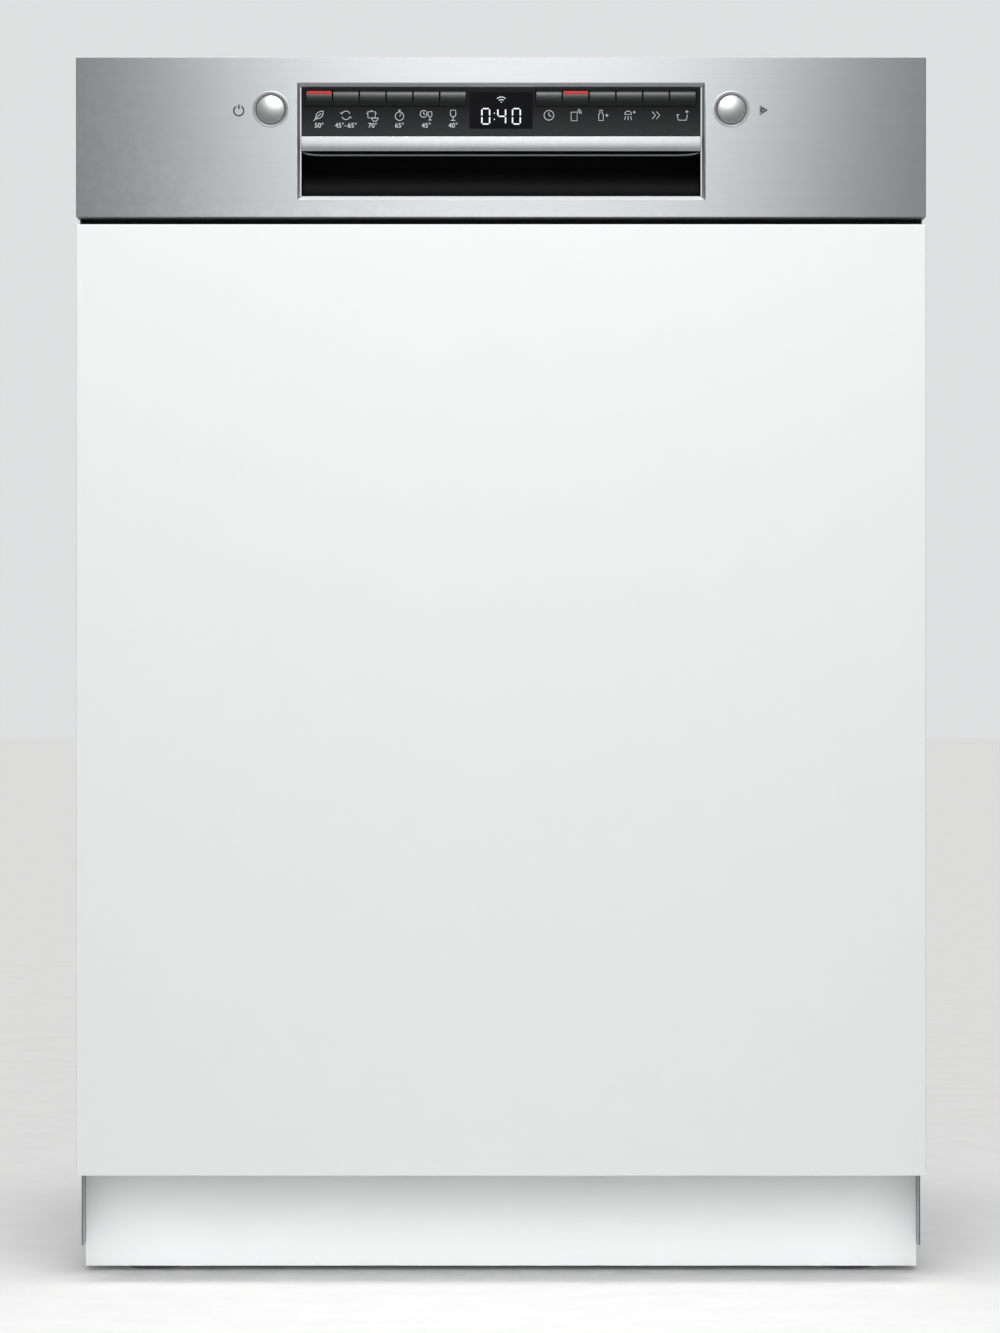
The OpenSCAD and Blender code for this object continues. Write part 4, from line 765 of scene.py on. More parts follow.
def printed(name, node, strokes, width, finish, face=None):
    """Prints lines on a front face. A stroke is a list of (x, z), and closes if its ends meet."""
    curve = bpy.data.curves.new(name, "CURVE")
    curve.dimensions = "3D"
    curve.bevel_depth = width / 2
    curve.bevel_resolution = 1
    curve.use_fill_caps = True
    for stroke in strokes:
        closed = len(stroke) > 2 and (Vector(stroke[0]) - Vector(stroke[-1])).length < 1e-3
        spots = stroke[:-1] if closed else stroke
        spline = curve.splines.new("POLY")
        spline.points.add(len(spots) - 1)
        for point, (x, z) in zip(spline.points, spots):
            point.co = (x, 0.0, z, 1.0)
        spline.use_cyclic_u = closed
    mesh = curve_mesh(curve)
    thickness = 0.08
    face = place(node)[0].y if face is None else face
    for vertex in mesh.vertices:
        vertex.co.y = face - thickness + vertex.co.y / (width / 2) * thickness
    mesh.transform(Matrix.Scale(MM, 4))
    make_piece(mesh, node, "print", angle=None, finish=finish, name=name)


def moved(strokes, x, z):
    """Symbol strokes put at a place."""
    return [[(x + px, z + pz) for px, pz in stroke] for stroke in strokes]


def cross(x, z, half):
    """Upright and level stroke that cross."""
    return [[(x, z + half), (x, z - half)], [(x - half, z), (x + half, z)]]


def draw_symbols():
    """Strokes of each symbol about its middle."""
    blade = [(-2.6 + 5.6 * step / 8, 1.4 * math.sin(math.pi * step / 8)) for step in range(9)]
    leaf = [(t - swell, t + swell) for t, swell in blade]
    leaf += [(t + swell, t - swell) for t, swell in blade[-2::-1]]
    clock = [arc((0, 0), 3.4, 0, 360, 20), [(0, 2.0), (0, 0), (1.6, -0.8)]]
    bowl = [(-1.8, 3.6)] + arc((0, 0.8), 1.9, 180, 360, 10) + [(1.8, 3.6), (-1.8, 3.6)]
    glass = [bowl, [(0, -1.1), (0, -3.6)], [(-1.5, -3.6), (1.5, -3.6)]]
    pan = [(-3.4, 2.6), (1.8, 2.6), (1.8, -1.8), (-3.4, -1.8), (-3.4, 2.6)]
    plate = [(-3.2, 2.2), (1.0, 2.2), (1.0, -3.8), (-3.2, -3.8), (-3.2, 2.2)]
    bottle = [(-2.6, -3.6), (0.6, -3.6), (0.6, 0.6), (-0.2, 1.6), (-0.2, 3.6), (-1.8, 3.6), (-1.8, 1.6),
              (-2.6, 0.6), (-2.6, -3.6)]
    head = arc((-0.8, 0.6), 2.4, 0, 180)
    drops = [[(x, -0.6), (x + slant, -3.2)] for x, slant in ((-2.6, -0.6), (-0.8, 0.0), (1.0, 0.6))]
    return {
        "leaf": [leaf, [(-3.8, -3.8), (1.2, 1.2)]],
        "arrows": [arc((0, 0), 3.0, 20, 160), arc((0, 0), 3.0, 200, 340),
                   [(-4.0, 1.9), (-2.8, 1.0), (-1.8, 2.4)], [(4.0, -1.9), (2.8, -1.0), (1.8, -2.4)]],
        "pan": [pan, [(-4.4, 1.4), (-3.4, 1.4)], [(1.8, 1.4), (2.8, 1.4)], [(-1.4, 3.4), (-0.2, 3.4)],
                arc((1.6, -2.0), 2.2, 180, 360, 10), [(-0.8, -2.0), (4.0, -2.0)]],
        "stopwatch": [arc((0, -0.6), 3.0, 0, 360, 20), [(0, -0.6), (1.2, 1.0)], [(-0.9, 3.6), (0.9, 3.6)],
                      [(0, 2.4), (0, 3.6)]],
        "clock": clock,
        "glass": glass,
        "clock and glass": [[(x * 0.7 - 1.9, z * 0.7 + 1.0) for x, z in stroke] for stroke in clock]
        + [[(x * 0.7 + 2.6, z * 0.8 - 0.4) for x, z in stroke] for stroke in glass],
        "waves": [plate] + [arc((1.0, 1.6), radius, -10, 80, 6) for radius in (1.6, 2.9)],
        "bottle": [bottle] + cross(3.1, 0.0, 1.1),
        "shower": [head + head[:1]] + drops + cross(3.5, 2.2, 0.9),
        "chevrons": [[(x - 1.2, 2.6), (x + 1.2, 0.0), (x - 1.2, -2.6)] for x in (-1.6, 1.4)],
        "basin": [[(-4.0, 0.4), (-3.2, -3.4), (2.4, -3.4), (3.2, 0.4)], [(-4.2, 0.4), (-2.6, 0.4)]]
        + cross(2.8, 2.5, 1.1),
        "wireless": [arc((0, -2.0), radius, 45, 135, 6) for radius in (0.5, 2.3, 4.1)],
        "power": [arc((0, 0), 3.5, 120, 420, 24), [(0, 1.2), (0, 4.3)]],
        "start": [[(-2.2, 3.0), (2.8, 0.0), (-2.2, -3.0), (-2.2, 3.0)],
                  [(-1.3, 1.6), (1.2, 0.0), (-1.3, -1.6)], [(-1.3, 1.2), (-1.3, -1.2)]],
    }


def key_symbols(symbols):
    """White symbols under the keys."""
    rows = {"program": ("leaf", "arrows", "pan", "stopwatch", "clock and glass", "glass"),
            "option": ("clock", "waves", "bottle", "shower", "chevrons", "basin")}
    for word, names in rows.items():
        strokes = []
        for number, name in enumerate(names, 1):
            node = f"{word}_key_{number}"
            strokes += moved(symbols[name], middle(node).x, place(node)[0].z - 6.4)
        printed(word + "_symbols", "panel_housing", strokes, 0.5, "print")


def key_numbers():
    """Wash temperatures under the program symbols."""
    face = place("panel_housing")[0].y
    height = 3.4
    for number, words in enumerate(("50°", "45°–65°", "70°", "65°", "45°", "40°"), 1):
        node = f"program_key_{number}"
        name = f"program_degrees_{number}"
        curve = bpy.data.curves.new(name, "FONT")
        curve.body = words
        curve.size = height * 1.38
        curve.align_x = "CENTER"
        curve.align_y = "CENTER"
        curve.extrude = 0.06
        mesh = curve_mesh(curve)
        spot = Matrix.Translation((middle(node).x, face, place(node)[0].z - 13.6))
        mesh.transform(Matrix.Scale(MM, 4) @ spot @ Matrix.Rotation(math.pi / 2, 4, "X"))
        finish_piece(linked(name, mesh), "panel_housing", finish="print")


SEGMENTS = {"a": ((0, 1), (1, 1)), "b": ((1, 1), (1, 0.5)), "c": ((1, 0.5), (1, 0)), "d": ((0, 0), (1, 0)),
            "e": ((0, 0), (0, 0.5)), "f": ((0, 0.5), (0, 1)), "g": ((0, 0.5), (1, 0.5))}
DIGITS = {"0": "abcdef", "4": "bcfg"}


def display(symbols):
    """Lit remaining time in the window, and a wireless sign over it."""
    low, high = place("display_window")
    width, height, gap = 5.4, 10.8, 0.6
    base = low.z + 3.1
    strokes = [[(-4.9, base + share * height), (-4.4, base + share * height)] for share in (0.3, 0.7)]
    for digit, left in (("0", -13.4), ("4", -2.2), ("0", 8.1)):
        for name in DIGITS[digit]:
            start, end = (Vector((left + x * width, base + z * height)) for x, z in SEGMENTS[name])
            short = (end - start).normalized() * gap
            strokes.append([tuple(start + short), tuple(end - short)])
    sign = moved(symbols["wireless"], 0.2, high.z - 5.0)
    for name, lines, width in (("display_digits", strokes, 0.95), ("display_sign", sign, 0.5)):
        printed(name, "panel_housing", lines, width, "lit_digits", low.y)


def control_panel():
    """Everything on the fascia."""
    handle_bar()
    grip_lip()
    painted_rim_highlights()
    for node in ("power_button", "start_button"):
        round_button(node)
    for number in range(1, 7):
        key_cap(f"program_key_{number}", number == 1)
        key_cap(f"option_key_{number}", number == 2)
    symbols = draw_symbols()
    key_symbols(symbols)
    key_numbers()
    display(symbols)
    button = middle("power_button")
    x = button.x - 22.3
    strokes = moved(symbols["power"], x, button.z - 1.1) + moved(symbols["start"], -x, button.z - 0.8)
    printed("fascia_symbols", "control_fascia", strokes, 1.1, "dark_print")


# ------------ racks and spray arms

WIRE = 1.5
PITCH = 54.0
RACK_HALF = 252.0
TRAY_HALF = 262.2


def wire_places(low, high):
    """Places of the wires across a span."""
    inner = high - low - 2 * WIRE
    count = max(1, round(inner / PITCH))
    return [low + WIRE + step * inner / count for step in range(count + 1)]


def basket(node, half, floor_z):
    """Basket of round wire: hoops both ways and rings round the walls."""
    high = place(node)[1]
    y0, y1 = place("rack_rails")[0].y + WIRE, place("rack_rails")[1].y - WIRE
    x1, top, bottom = half - WIRE, high.z - WIRE, floor_z + WIRE
    corner = min(14.0, (top - bottom) / 2)
    shape = bmesh.new()
    for x in wire_places(-half, half):
        add_wire(shape, bent([(x, y0, top), (x, y0, bottom), (x, y1, bottom), (x, y1, top)], corner), WIRE)
    for y in wire_places(y0 - WIRE, y1 + WIRE):
        add_wire(shape, bent([(-x1, y, top), (-x1, y, bottom), (x1, y, bottom), (x1, y, top)], corner), WIRE)
    for z in wire_places(floor_z + 3.1, high.z)[1:]:
        add_wire(shape, [(x, y, z) for x, y in loop((-x1, y0), (x1, y1), 10.0)], WIRE, closed=True)
    make_piece(shape, node, "wires", angle=None)


def hairpins(node, part, rows, along, foot, height, half_gap, lean=0.0):
    """Rows of hairpin tines welded to a rack's floor. A row lists where it lies and where its pins stand."""
    shape = bmesh.new()
    for across, stands in rows:
        def put(reach, level):
            slant = across + lean * (level - foot)
            return (reach, slant, level) if along == "X" else (slant, reach, level)
        for stand in stands:
            turn = arc((stand, foot + height - half_gap), half_gap, 180, 0)
            pin = [(stand - half_gap, foot)] + turn + [(stand + half_gap, foot)]
            add_wire(shape, [put(u, v) for u, v in pin], WIRE * 0.9)
        ends = (stands[0] - 2 * half_gap, stands[-1] + 2 * half_gap)
        add_wire(shape, [put(end, foot + WIRE) for end in ends], WIRE)
    make_piece(shape, node, part, angle=None)


def rack_handle(node):
    """Grip clipped to the middle of a rack's front rim, open for the fingers."""
    low, high = place(node)
    half, bar, tall = 62.0, 7.0, 24.0
    y0, y1, top = low.y - 3, low.y + 6, high.z + 0.6
    foot = top - tall
    blocks = [((-half, y0, top - bar), (half, y1, top)), ((-half, y0 + 1, foot), (half, y1 - 1, foot + 5))]
    blocks += mirrored((half, y0 + 0.5, foot), (half - bar, y1 - 0.5, top))
    fitting(node, "handle", "grey_plastic", blocks, edge=1.5)


def lower_rack():
    """Lower rack with its wheel brackets, axles, cross strip and clips."""
    node = "lower_rack"
    rod = middle("folding_tines").y
    floor_z = place("folding_tines")[0].z - 3.3
    basket(node, RACK_HALF, floor_z)
    rows = [(rod + step, range(-200, 201, 50)) for step in (-170, -115, 55, 110)]
    hairpins(node, "tines", rows, "X", floor_z + WIRE, 82.0, 12.5)
    rack_handle(node)
    blocks = [((3 - RACK_HALF, rod - 6, floor_z), (RACK_HALF - 3, rod + 6, floor_z + 3))]
    bars = []
    for wheels in WHEELS:
        axle = middle(wheels)
        blocks += mirrored((RACK_HALF, axle.y - 8, axle.z - 8), (RACK_HALF + 2, axle.y + 8, floor_z + 7))
        bars += [("X", 4.0, side * RACK_HALF, side * (place(wheels)[1].x + 1), (0.0, axle.y, axle.z))
                 for side in SIDES]
    fitting(node, "brackets", "grey_plastic", blocks, bars)
    clips = mirrored((217, rod - 6, floor_z + 2), (223, rod + 6, floor_z + 8.55))
    fitting(node, "clips", "grey_plastic", clips)


def rack_wheels(node):
    """Pair of grooved wheels with a raised hub."""
    low, high = place(node)
    centre = middle(node)
    radius = (high.z - low.z) / 2
    half = [(4.1, 0.0), (7.0, 0.0), (7.6, 0.6), (7.6, 3.0), (13.6, 3.4), (14.2, 0.6), (15.0, 0.0),
            (radius - 0.8, 0.0), (radius, 0.8)]
    width = 12.0
    profile = [(r, high.x - width + reach) for r, reach in half]
    profile += [(r, high.x - reach) for r, reach in half[::-1]]
    shape = bmesh.new()
    for side in SIDES:
        both = [(r, side * reach) for r, reach in profile + profile[:1]]
        add_turned(shape, both, (0.0, centre.y, centre.z), "X")
    make_piece(shape, node, angle=40.0)


def tines():
    """Row of tines with rounded tips on their rod."""
    node = "folding_tines"
    low, high = place(node)
    radius = (high.y - low.y) / 2
    y, z = low.y + radius, low.z + radius
    shape = bmesh.new()
    add_wire(shape, [(low.x, y, z), (high.x, y, z)], radius, 12)
    tip = [arc((0.0, high.z - radius), radius, turn, turn, 1)[0] for turn in (0, 30, 60, 85)]
    for x in range(-200, 201, 25):
        add_turned(shape, [(radius, z)] + tip, (x, y, 0.0), "Z", 12)
    make_piece(shape, node, angle=50.0)


def upper_rack():
    """Upper rack with its inner rails, brackets, water pipe and pin for the spray arm."""
    node = "upper_rack"
    floor_z = place(node)[1].z - 165
    basket(node, RACK_HALF, floor_z)
    for side, word in SIDES.items():
        rows = [(side * reach, range(-150, 173, 46)) for reach in (58, 142)]
        hairpins(node, word + "_tines", rows, "Y", floor_z + WIRE, 48.0, 9.0, 0.32 * side)
    rack_handle(node)
    low, high = place("rail_middle")
    outer = high.x - 4.9
    blocks = mirrored((outer - 4.6, low.y, low.z), (outer, high.y, high.z))
    for wheels in WHEELS:
        y = middle(wheels).y
        blocks += mirrored((RACK_HALF - 3, y - 8, low.z), (outer - 4, y + 8, high.z))
    fitting(node, "rails", "hinge_steel", blocks)
    y = middle("upper_spray_arm").y
    bars = [("Y", 6.0, y, high.y, (0.0, 0.0, floor_z - 6.3)),
            ("Z", 8.0, place("upper_spray_arm")[0].z + 6.3, floor_z + 3, (0.0, y, 0.0))]
    fitting(node, "pipe", "pale_plastic", bars=bars)


def cutlery_tray():
    """Cutlery tray with its side runners and waves of wire."""
    node = "cutlery_tray"
    low, high = place(node)
    basket(node, TRAY_HALF, low.z)
    runners = mirrored((TRAY_HALF - 3, low.y, low.z), (high.x, high.y, low.z + 3))
    fitting(node, "runners", "grey_plastic", runners)
    rack_handle(node)
    swing = 9.0
    wave = [(8 - TRAY_HALF + step * 4.5, low.z + swing + 3 * WIRE - swing * math.cos(step * math.pi / 3))
            for step in range(115)]
    paths = [[(x, low.y + 60 + row * 62, z) for x, z in wave] for row in range(6)]
    wires(node, "waves", paths, WIRE * 0.8, 6)


def jets(node, faces):
    """Row of jets on each face of a spray arm that is named, 1 for the top and -1 below."""
    low, high = place(node)
    centre = middle(node)
    thick = 11.0
    top = high.z if node.startswith("upper") else low.z + thick
    shape = bmesh.new()
    for face in faces:
        cup = [(3.4, -0.1), (3.4, 0.5), (2.9, 0.9), (1.8, 0.9), (1.5, 0.3), (0.0, 0.2)]
        cup = [(radius, face * reach) for radius, reach in cup]
        for side in SIDES:
            for number, reach in enumerate(range(38, 179, 28)):
                away = 7 * (1 if number % 2 else -1) * side
                spot = (side * min(reach, 176), centre.y + away, top if face > 0 else top - thick)
                add_turned(shape, cup, spot, "Z", 20)
    make_piece(shape, node, "jets", angle=40.0, slot="dark_plastic")


# ------------ sheets, machinery and feet

def side_panel(node):
    """Side panel with two long sunk fields that stiffen it."""
    low, high = place(node)
    side = 1 if high.x > 0 else -1
    face = high.x if side > 0 else low.x
    level = middle(node).z + 40
    ys = (low.y + 45, high.y - 45)
    fields = [(ys, (low.z + 175, level - 18)), (ys, (level + 18, high.z - 60))]
    pressed_sheet(node, (low.y, high.y), (low.z, high.z), fields, 3.0, high.x - low.x,
                  lambda y, z, lift: (face + side * lift, y, z))


def rear_panel():
    """Rear panel with three upright sunk fields."""
    low, high = place("rear_panel")
    third = (high.x - low.x) / 3
    fields = [((low.x + third * number + 22, low.x + third * (number + 1) - 22), (low.z + 60, high.z - 70))
              for number in range(3)]
    pressed_sheet("rear_panel", (low.x, high.x), (low.z, high.z), fields, 4.0, high.y - low.y,
                  lambda x, z, lift: (x, high.y + lift, z))


def beads(node, part, rings, normal, put, width=9.0, height=1.6):
    """Pressed beads on a sheet. A ring is lowest corner, highest corner and corner radius in its plane."""
    shape = bmesh.new()
    for low, high, radius in rings:
        add_bead(shape, [put(u, v) for u, v in loop(low, high, radius)], normal, width, height)
    make_piece(shape, node, part, angle=None)


def all_beads():
    """Beads pressed in the tub's rear and side walls, in the door's inner sheet and in the top plate."""
    rear = place("tub")[1].y - 0.8
    rings = [((min(side * 45, side * 235), low), (max(side * 45, side * 235), high), 24)
             for side in SIDES for low, high in ((200, 420), (460, 700))]
    beads("tub", "rear_beads", rings, (0, -1, 0), lambda x, z: (x, rear, z))
    for side, word in SIDES.items():
        beads("tub", word + "_beads", [((-150, 405), (200, 505), 24)], (-side, 0, 0),
              lambda y, z: (side * 274.5, y, z))
    sheet = place("inner_door")[1].y
    rings = [((-262, 158), (262, 826), 34), ((-205, 205), (205, 405), 26), ((-205, 600), (205, 780), 26)]
    beads("inner_door", "beads", rings, (0, 1, 0), lambda x, z: (x, sheet, z))
    low, high = place("top_plate")
    inset, front, rib = 60.0, low.y + 75, 12.0
    rings = [((low.x + inset, front), (-rib, high.y - inset), 30),
             ((rib, front), (high.x - inset, high.y - inset), 30)]
    beads("top_plate", "beads", rings, (0, 0, 1), lambda x, y: (x, y, high.z), 12.0, 1.0)


def foot(node):
    """Levelling foot: a ribbed pad, a flange and a threaded rod."""
    low, high = place(node)
    centre = middle(node)
    radius, tall = radius_of(node), high.z - low.z
    rod, pad, thread = 5.0, 8.0, 2.0
    profile = [(radius - 1.2, 0.0), (radius, 1.2), (radius, 3.2), (radius - 2, 4.0), (radius - 3, pad - 1),
               (radius - 4, pad), (rod, pad)]
    for turn in range(int((tall - pad - 4) / thread)):
        profile += [(rod - 0.9, pad + thread * (turn + 0.5)), (rod, pad + thread * (turn + 1))]
    profile.append((rod - 1, tall))
    turned(node, "piece", profile, [(centre.x, centre.y, low.z)], "Z", 32, angle=30.0)


def screws(node, spots, axis, out, **own):
    """Pan-head screws with a round drive, on faces that look along an axis, out being 1 or -1."""
    head = 4.2
    profile = [(1.0, 0.0), (1.0, 0.4), (0.8, 0.9), (0.45, 1.1), (0.4, 1.05), (0.36, 0.5), (0.0, 0.4)]
    profile = [(head * share, out * reach) for share, reach in profile]
    turned(node, "screws", profile, spots, axis, 16, angle=40.0, slot="hinge_steel", **own)


def all_screws():
    """Screws that hold the outer sheets."""
    heights = range(65, 841, 155)
    for node, out in (("left_side_panel", -1), ("right_side_panel", 1)):
        low, high = place(node)
        spots = [((high if out > 0 else low).x, y, z) for y in (low.y + 14, high.y - 14) for z in heights]
        screws(node, spots, "X", out)
    low, high = place("rear_panel")
    spots = [(x, high.y, z) for x in (low.x + 10, high.x - 10) for z in heights[1:]]
    screws("rear_panel", spots + [(x, high.y, low.z + 12) for x in (-150, 0, 150)], "Y", 1)


def water_connections():
    """Inlet valve with its threaded mouth, barbed drain spigot and mains socket with three pins."""
    node = "water_connections"
    low = place(node)[0]
    back, level = low.y, middle(node).z
    inlet, valve = low.x + 22, 22.0
    mains = -inlet
    mouth = [(19.5, 4.8), (20.0, 6.0), (20.0, 18.5), (19.0, 20.0), (12.4, 20.0)]
    for turn in range(7):
        thread = ((12.3, 20.6), (13.2, 21.2), (13.2, 21.8), (12.3, 22.4))
        mouth += [(radius, reach + turn * 2.0) for radius, reach in thread]
    mouth += [(12.3, 35.4), (11.8, 36.0), (7.4, 36.0), (7.0, 35.5), (7.0, 15.0), (0.0, 15.0)]
    shape = bmesh.new()
    add_block(shape, (inlet - valve, back, level - valve), (inlet + valve, back + 5, level + valve))
    add_turned(shape, mouth, (inlet, back, level), "Y", 40)
    make_piece(shape, node, "inlet", angle=28.0, name="inlet_valve")
    spout = [(13.0, 0.0), (13.0, 2.5), (12.0, 3.2), (8.6, 3.4), (8.6, 12.0)]
    for barb in range(3):
        spout += [(10.0, 12.2 + barb * 6.0), (8.7, 17.8 + barb * 6.0)]
    spout += [(9.4, 30.0), (8.8, 32.0), (7.2, 32.0), (7.0, 31.6), (7.0, 2.0), (0.0, 2.0)]
    turned(node, "spigot", spout, [(inlet + 80, back, level)], "Y", 40, angle=28.0, name="drain_spigot")
    wide, tall, deep, wall = 17.0, 13.0, 18.0, 2.4
    shell = [((mains - wide, back, level - tall), (mains + wide, back + 2.5, level + tall))]
    for side in SIDES:
        shell.append(((mains + side * wide, back, level - tall),
                      (mains + side * (wide - wall), back + deep, level + tall)))
        shell.append(((mains - wide, back, level + side * tall),
                      (mains + wide, back + deep, level + side * (tall - wall))))
    fitting(node, "socket", "dark_plastic", shell, name="mains_socket")
    pins = [((mains + x - 1, back + 2, level + z - 2.6), (mains + x + 1, back + 15, level + z + 2.6))
            for x, z in ((-8, -2), (0, 3), (8, -2))]
    fitting(node, "pins", "hinge_steel", pins, edge=0.3, name="mains_pins")
    spots = [(inlet + x * 18, back + 5, level + z * 18) for x in SIDES for z in SIDES]
    screws(node, spots, "Y", 1, name="inlet_valve_screws")


def base_ribs():
    """Upright ribs on the rear of the base pan, clear of the connections."""
    low, high = place("base_pan")
    taken = ((-228, -172), (-138, -102), (176, 224), (-26, 26))
    blocks = [((x - 1.2, high.y - 0.2, low.z + 4), (x + 1.2, high.y + 6, 124)) for x in range(-279, 280, 31)
              if not any(start < x < end for start, end in taken)]
    fitting("base_pan", "ribs", "dark_plastic", blocks)


def grip_ribs(node, inset, start, end, count, axis="Z"):
    """Grip ribs round a cap, between two places along its axis."""
    centre = middle(node)
    radius = radius_of(node) - inset
    paths = []
    for number in range(count):
        turn = 2 * math.pi * number / count
        x, across = centre.x + radius * math.cos(turn), radius * math.sin(turn)
        paths.append([(x, reach, centre.z + across) if axis == "Y" else (x, centre.y + across, reach)
                      for reach in (start, end)])
    wires(node, "ribs", paths, 1.0, angle=40.0)


def caps_and_lid():
    """Grip ribs on the lid, the caps and the filter, and the sight glass of the rinse aid."""
    low, high = place("dispenser_lid")
    inset = (high.x - low.x) * 0.3
    blocks = [((low.x + inset, high.y - 2.6, z), (high.x - inset, high.y - 1.2, z + 2))
              for z in (high.z - drop for drop in range(16, 32, 5))]
    fitting("dispenser_lid", "ribs", "pale_plastic", blocks, edge=0.4)
    cap = middle("rinse_aid_cap")
    glass = [(7.0, -0.1), (7.0, 0.5), (6.2, 0.8), (5.6, 0.5), (5.0, 0.45), (0.0, 0.9)]
    spot = (cap.x, place("dispenser_body")[1].y, cap.z + 36)
    turned("panel_housing", "glass", glass, [spot], "Y", 32, angle=50.0, finish="window",
           name="rinse_aid_glass")
    face = place("rinse_aid_cap")[1].y
    grip_ribs("rinse_aid_cap", 0.5, face - 4.7, face - 2.8, 24, "Y")
    foot_z = place("salt_cap")[0].z
    grip_ribs("salt_cap", 0.4, foot_z + 0.6, foot_z + 7.2, 30)
    low, high = place("micro_filter")
    grip_ribs("micro_filter", 1.8, low.z + 1.5, high.z - 13, 24)


def bands(radius, starts, width, lift):
    """Profile of rings that stand up by lift from a round body."""
    hidden, proud = radius - 0.4, radius + lift
    return [spot for start in starts for spot in ((hidden, start), (proud, start), (proud, start + width),
                                                  (hidden, start + width))]


def machinery():
    """Details of the pumps, the sump, the salt container, the feed pipe and the rear foot's shaft."""
    node = "circulation_pump"
    low, high = place(node)
    pump = middle(node)
    radius = (high.z - low.z) / 2
    ribs = bands(radius, (16,), 22, 1.5) + bands(radius, (40,), 5, 3.5)
    ribs += bands(radius, range(52, 92, 6), 2.4, 2)
    turned(node, "ribs", ribs, [(low.x, pump.y, pump.z)], "X", 64, slot="grey_plastic")
    screws(node, [(low.x + 110, pump.y + y * 21, pump.z + z * 21) for y in SIDES for z in SIDES], "X", 1)
    plug = ((high.x - 1, pump.y - 9, pump.z - 7), (high.x + 7, pump.y + 9, pump.z + 7))
    fitting(node, "plug", "dark_plastic", [plug], edge=0.8)
    for side, word in SIDES.items():
        clamp = bands(13.0, (3,) if side < 0 else (-9,), 6, 1.4)
        end = place("sump")[side > 0].x
        turned("sump", "clamp_" + word, clamp, [(end, pump.y, pump.z)], "X", 40, slot="hinge_steel")
    node = "drain_pump"
    low, high = place(node)
    pump = middle(node)
    ribs = bands((high.z - low.z) / 2, range(26, 51, 6), 2.4, 1.5)
    turned(node, "ribs", ribs, [(low.x, pump.y, pump.z)], "X", slot="grey_plastic")
    outlet = [(8.0, 17.0), (8.0, 28.0), (9.4, 28.5), (8.1, 32.5), (9.4, 33.0), (8.1, 37.0), (6.6, 37.0),
              (6.3, 24.0), (0.0, 24.0)]
    turned(node, "outlet", outlet, [(high.x - 20, pump.y, pump.z + 6)], "Y", 40, slot="grey_plastic")
    low, high = place("salt_container")
    x = middle("salt_container").x
    ribs = [((x + start, y - 1.6, low.z + 5), (x + start + 3, y + 1.6, low.z + 48))
            for start in (-34, -1.5, 31) for y in (low.y, high.y)]
    fitting("salt_container", "ribs", None, ribs, edge=0.6)
    low, high = place("feed_pipe")
    collars = bands(9.0, (170, 330, 560), 7, 1.3)
    turned("feed_pipe", "collars", collars, [(0.0, high.y - 9, low.z)], "Z", 40, slot="grey_plastic")
    shaft = middle("rear_foot_shaft")
    spot = (shaft.x, place("rear_foot_shaft")[0].y, shaft.z)
    turned("rear_foot_shaft", "collars", bands(4.0, (7, 350), 7, 2.2), [spot], "Y", 6, slot="hinge_steel")


# ------------ stage

def studio_world():
    """Pale room: plain for the eye and for dull surfaces, graded from bright above to dim ahead for gloss."""
    world = bpy.data.worlds.new("pale room")
    world.use_nodes = True
    bpy.context.scene.world = world
    tree = world.node_tree
    way = add(tree, "TexCoord").outputs["Generated"]
    graded = add(tree, "ValToRGB", {"Fac": rise(tree, part_of(tree, way, "Z"), -1.0, 1.0)})
    ramp = graded.color_ramp
    ramp.elements[0].color = rgb(0.9)
    ramp.elements[1].color = rgb(1.0)
    for position, grey in ((0.3, 0.5), (0.42, 0.5), (0.5, 0.4), (0.58, 0.55), (0.75, 0.9)):
        ramp.elements.new(position).color = rgb(grey)
    ahead = rise(tree, part_of(tree, way, "Y"), -0.4, -0.8)
    gloss = mix_colours(tree, ahead, graded.outputs["Color"], rgb(0.05))
    path = add(tree, "LightPath").outputs
    dull = mix_colours(tree, path["Is Glossy Ray"], rgb(0.32), gloss)
    seen = calc(tree, "MAXIMUM", path["Is Camera Ray"], path["Is Transmission Ray"])
    room = mix_colours(tree, seen, dull, rgb(0.74, 0.745, 0.75))
    tree.links.new(room, tree.nodes["Background"].inputs["Color"])


def lamp(name, kind, spot, aim, power, **settings):
    """Lamp at spot that looks at aim, both in metres, and isn't seen itself."""
    data = bpy.data.lights.new(name, kind)
    data.energy = power
    for label, value in settings.items():
        setattr(data, label, value)
    piece = linked(name, data)
    piece.location = spot
    piece.rotation_euler = (Vector(aim) - Vector(spot)).to_track_quat("-Z", "Y").to_euler()
    piece.visible_camera = False
    return piece


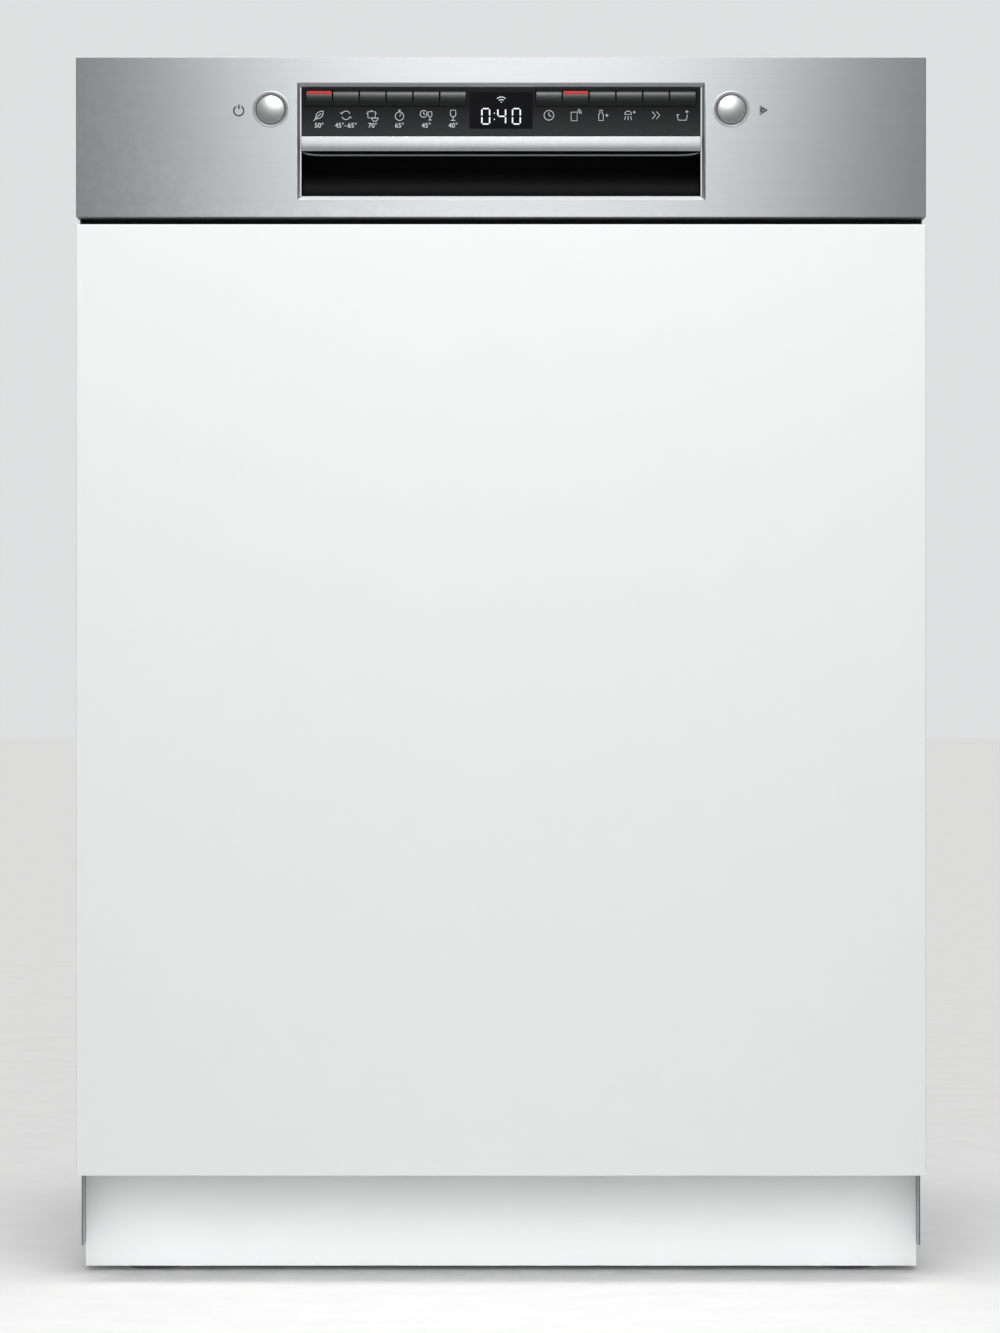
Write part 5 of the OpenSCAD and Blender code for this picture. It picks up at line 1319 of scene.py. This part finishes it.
def stage():
    """Floor, lamps, world and camera."""
    shape = bmesh.new()
    bmesh.ops.create_grid(shape, x_segments=2, y_segments=2, size=30.0)
    floor = linked("floor", mesh_of("floor", shape, 1.0, False))
    pale = moulding("pale floor", rgb(0.88, 0.88, 0.875), (0.7, 0.8), wear=0.0, dust=0.0)
    floor.data.materials.append(pale)
    floor.visible_glossy = False
    studio_world()
    front = place("furniture_front")[0].y * MM
    fascia = middle("control_fascia").z * MM
    lamp("fascia lamp", "AREA", (0.0, front - 1.1, fascia + 0.55), (0.0, front, fascia), 8.6,
         shape="RECTANGLE", size=0.5, size_y=0.35)
    plinth = place("kick_plate")[0].y * MM
    glow = lamp("plinth lamp", "AREA", (0.0, front - 0.2, 0.05), (0.0, plinth, 0.008), 0.09,
                shape="RECTANGLE", size=0.62, size_y=0.01, spread=math.radians(26.0))
    glow.visible_glossy = False
    lamp("room light", "SUN", (0.0, -0.35, 2.0), (0.0, 0.0, 0.0), 1.5, angle=math.radians(30.0))
    camera(front)


def camera(front):
    """Camera that looks straight at the front."""
    distance_away = 4.0
    view_height = 0.9343
    data = bpy.data.cameras.new("camera")
    data.sensor_fit = "AUTO"
    data.sensor_width = 36.0
    data.lens = data.sensor_width * distance_away / view_height
    data.clip_end = 50.0
    eye = linked("camera", data)
    eye.location = (-0.7 * MM, front - distance_away, 433 * MM)
    eye.rotation_euler = (math.pi / 2, 0.0, 0.0)
    bpy.context.scene.camera = eye


# ------------ all pieces

# The nodes whose own forms are kept, apart from those that need no more than a slight edge.
OWN_FORMS = {
    "control_fascia": {"edge": 0.5, "steps": 3, "flat": 0},
    "panel_housing": {"edge": 0.0, "finish": "strip_black_painted_reflection", "flat": 1},
    "display_window": {"edge": 0.0, "finish": "window"},
    "lower_spray_arm": {"edge": 1.6, "steps": 4, "clamp": True},
    "upper_spray_arm": {"edge": 1.6, "steps": 4, "clamp": True},
    "tub": {"edge": 0.35},
    "inner_door": {"edge": 0.8, "steps": 3},
    "furniture_front": {"edge": 1.2, "steps": 4},
    "door_gasket": {"edge": 1.4, "steps": 3, "clamp": True},
    "fine_filter": {"edge": 0.2, "finish": "perforated"},
}


def main():
    """Finishes, pieces and stage."""
    bpy.context.scene.view_settings.view_transform = "Standard"
    make_finishes()
    control_panel()
    lower_rack()
    upper_rack()
    cutlery_tray()
    tines()
    for node in WHEELS:
        rack_wheels(node)
    jets("lower_spray_arm", (1,))
    jets("upper_spray_arm", (1, -1))
    all_beads()
    machinery()
    all_screws()
    water_connections()
    base_ribs()
    caps_and_lid()
    side_panel("left_side_panel")
    side_panel("right_side_panel")
    rear_panel()
    for node in ("front_left_foot", "front_right_foot", "rear_foot"):
        foot(node)
    for name, node in frame["nodes"].items():
        if not node.hide_render:
            refined(name, **OWN_FORMS.get(name, {}))
    stage()


main()
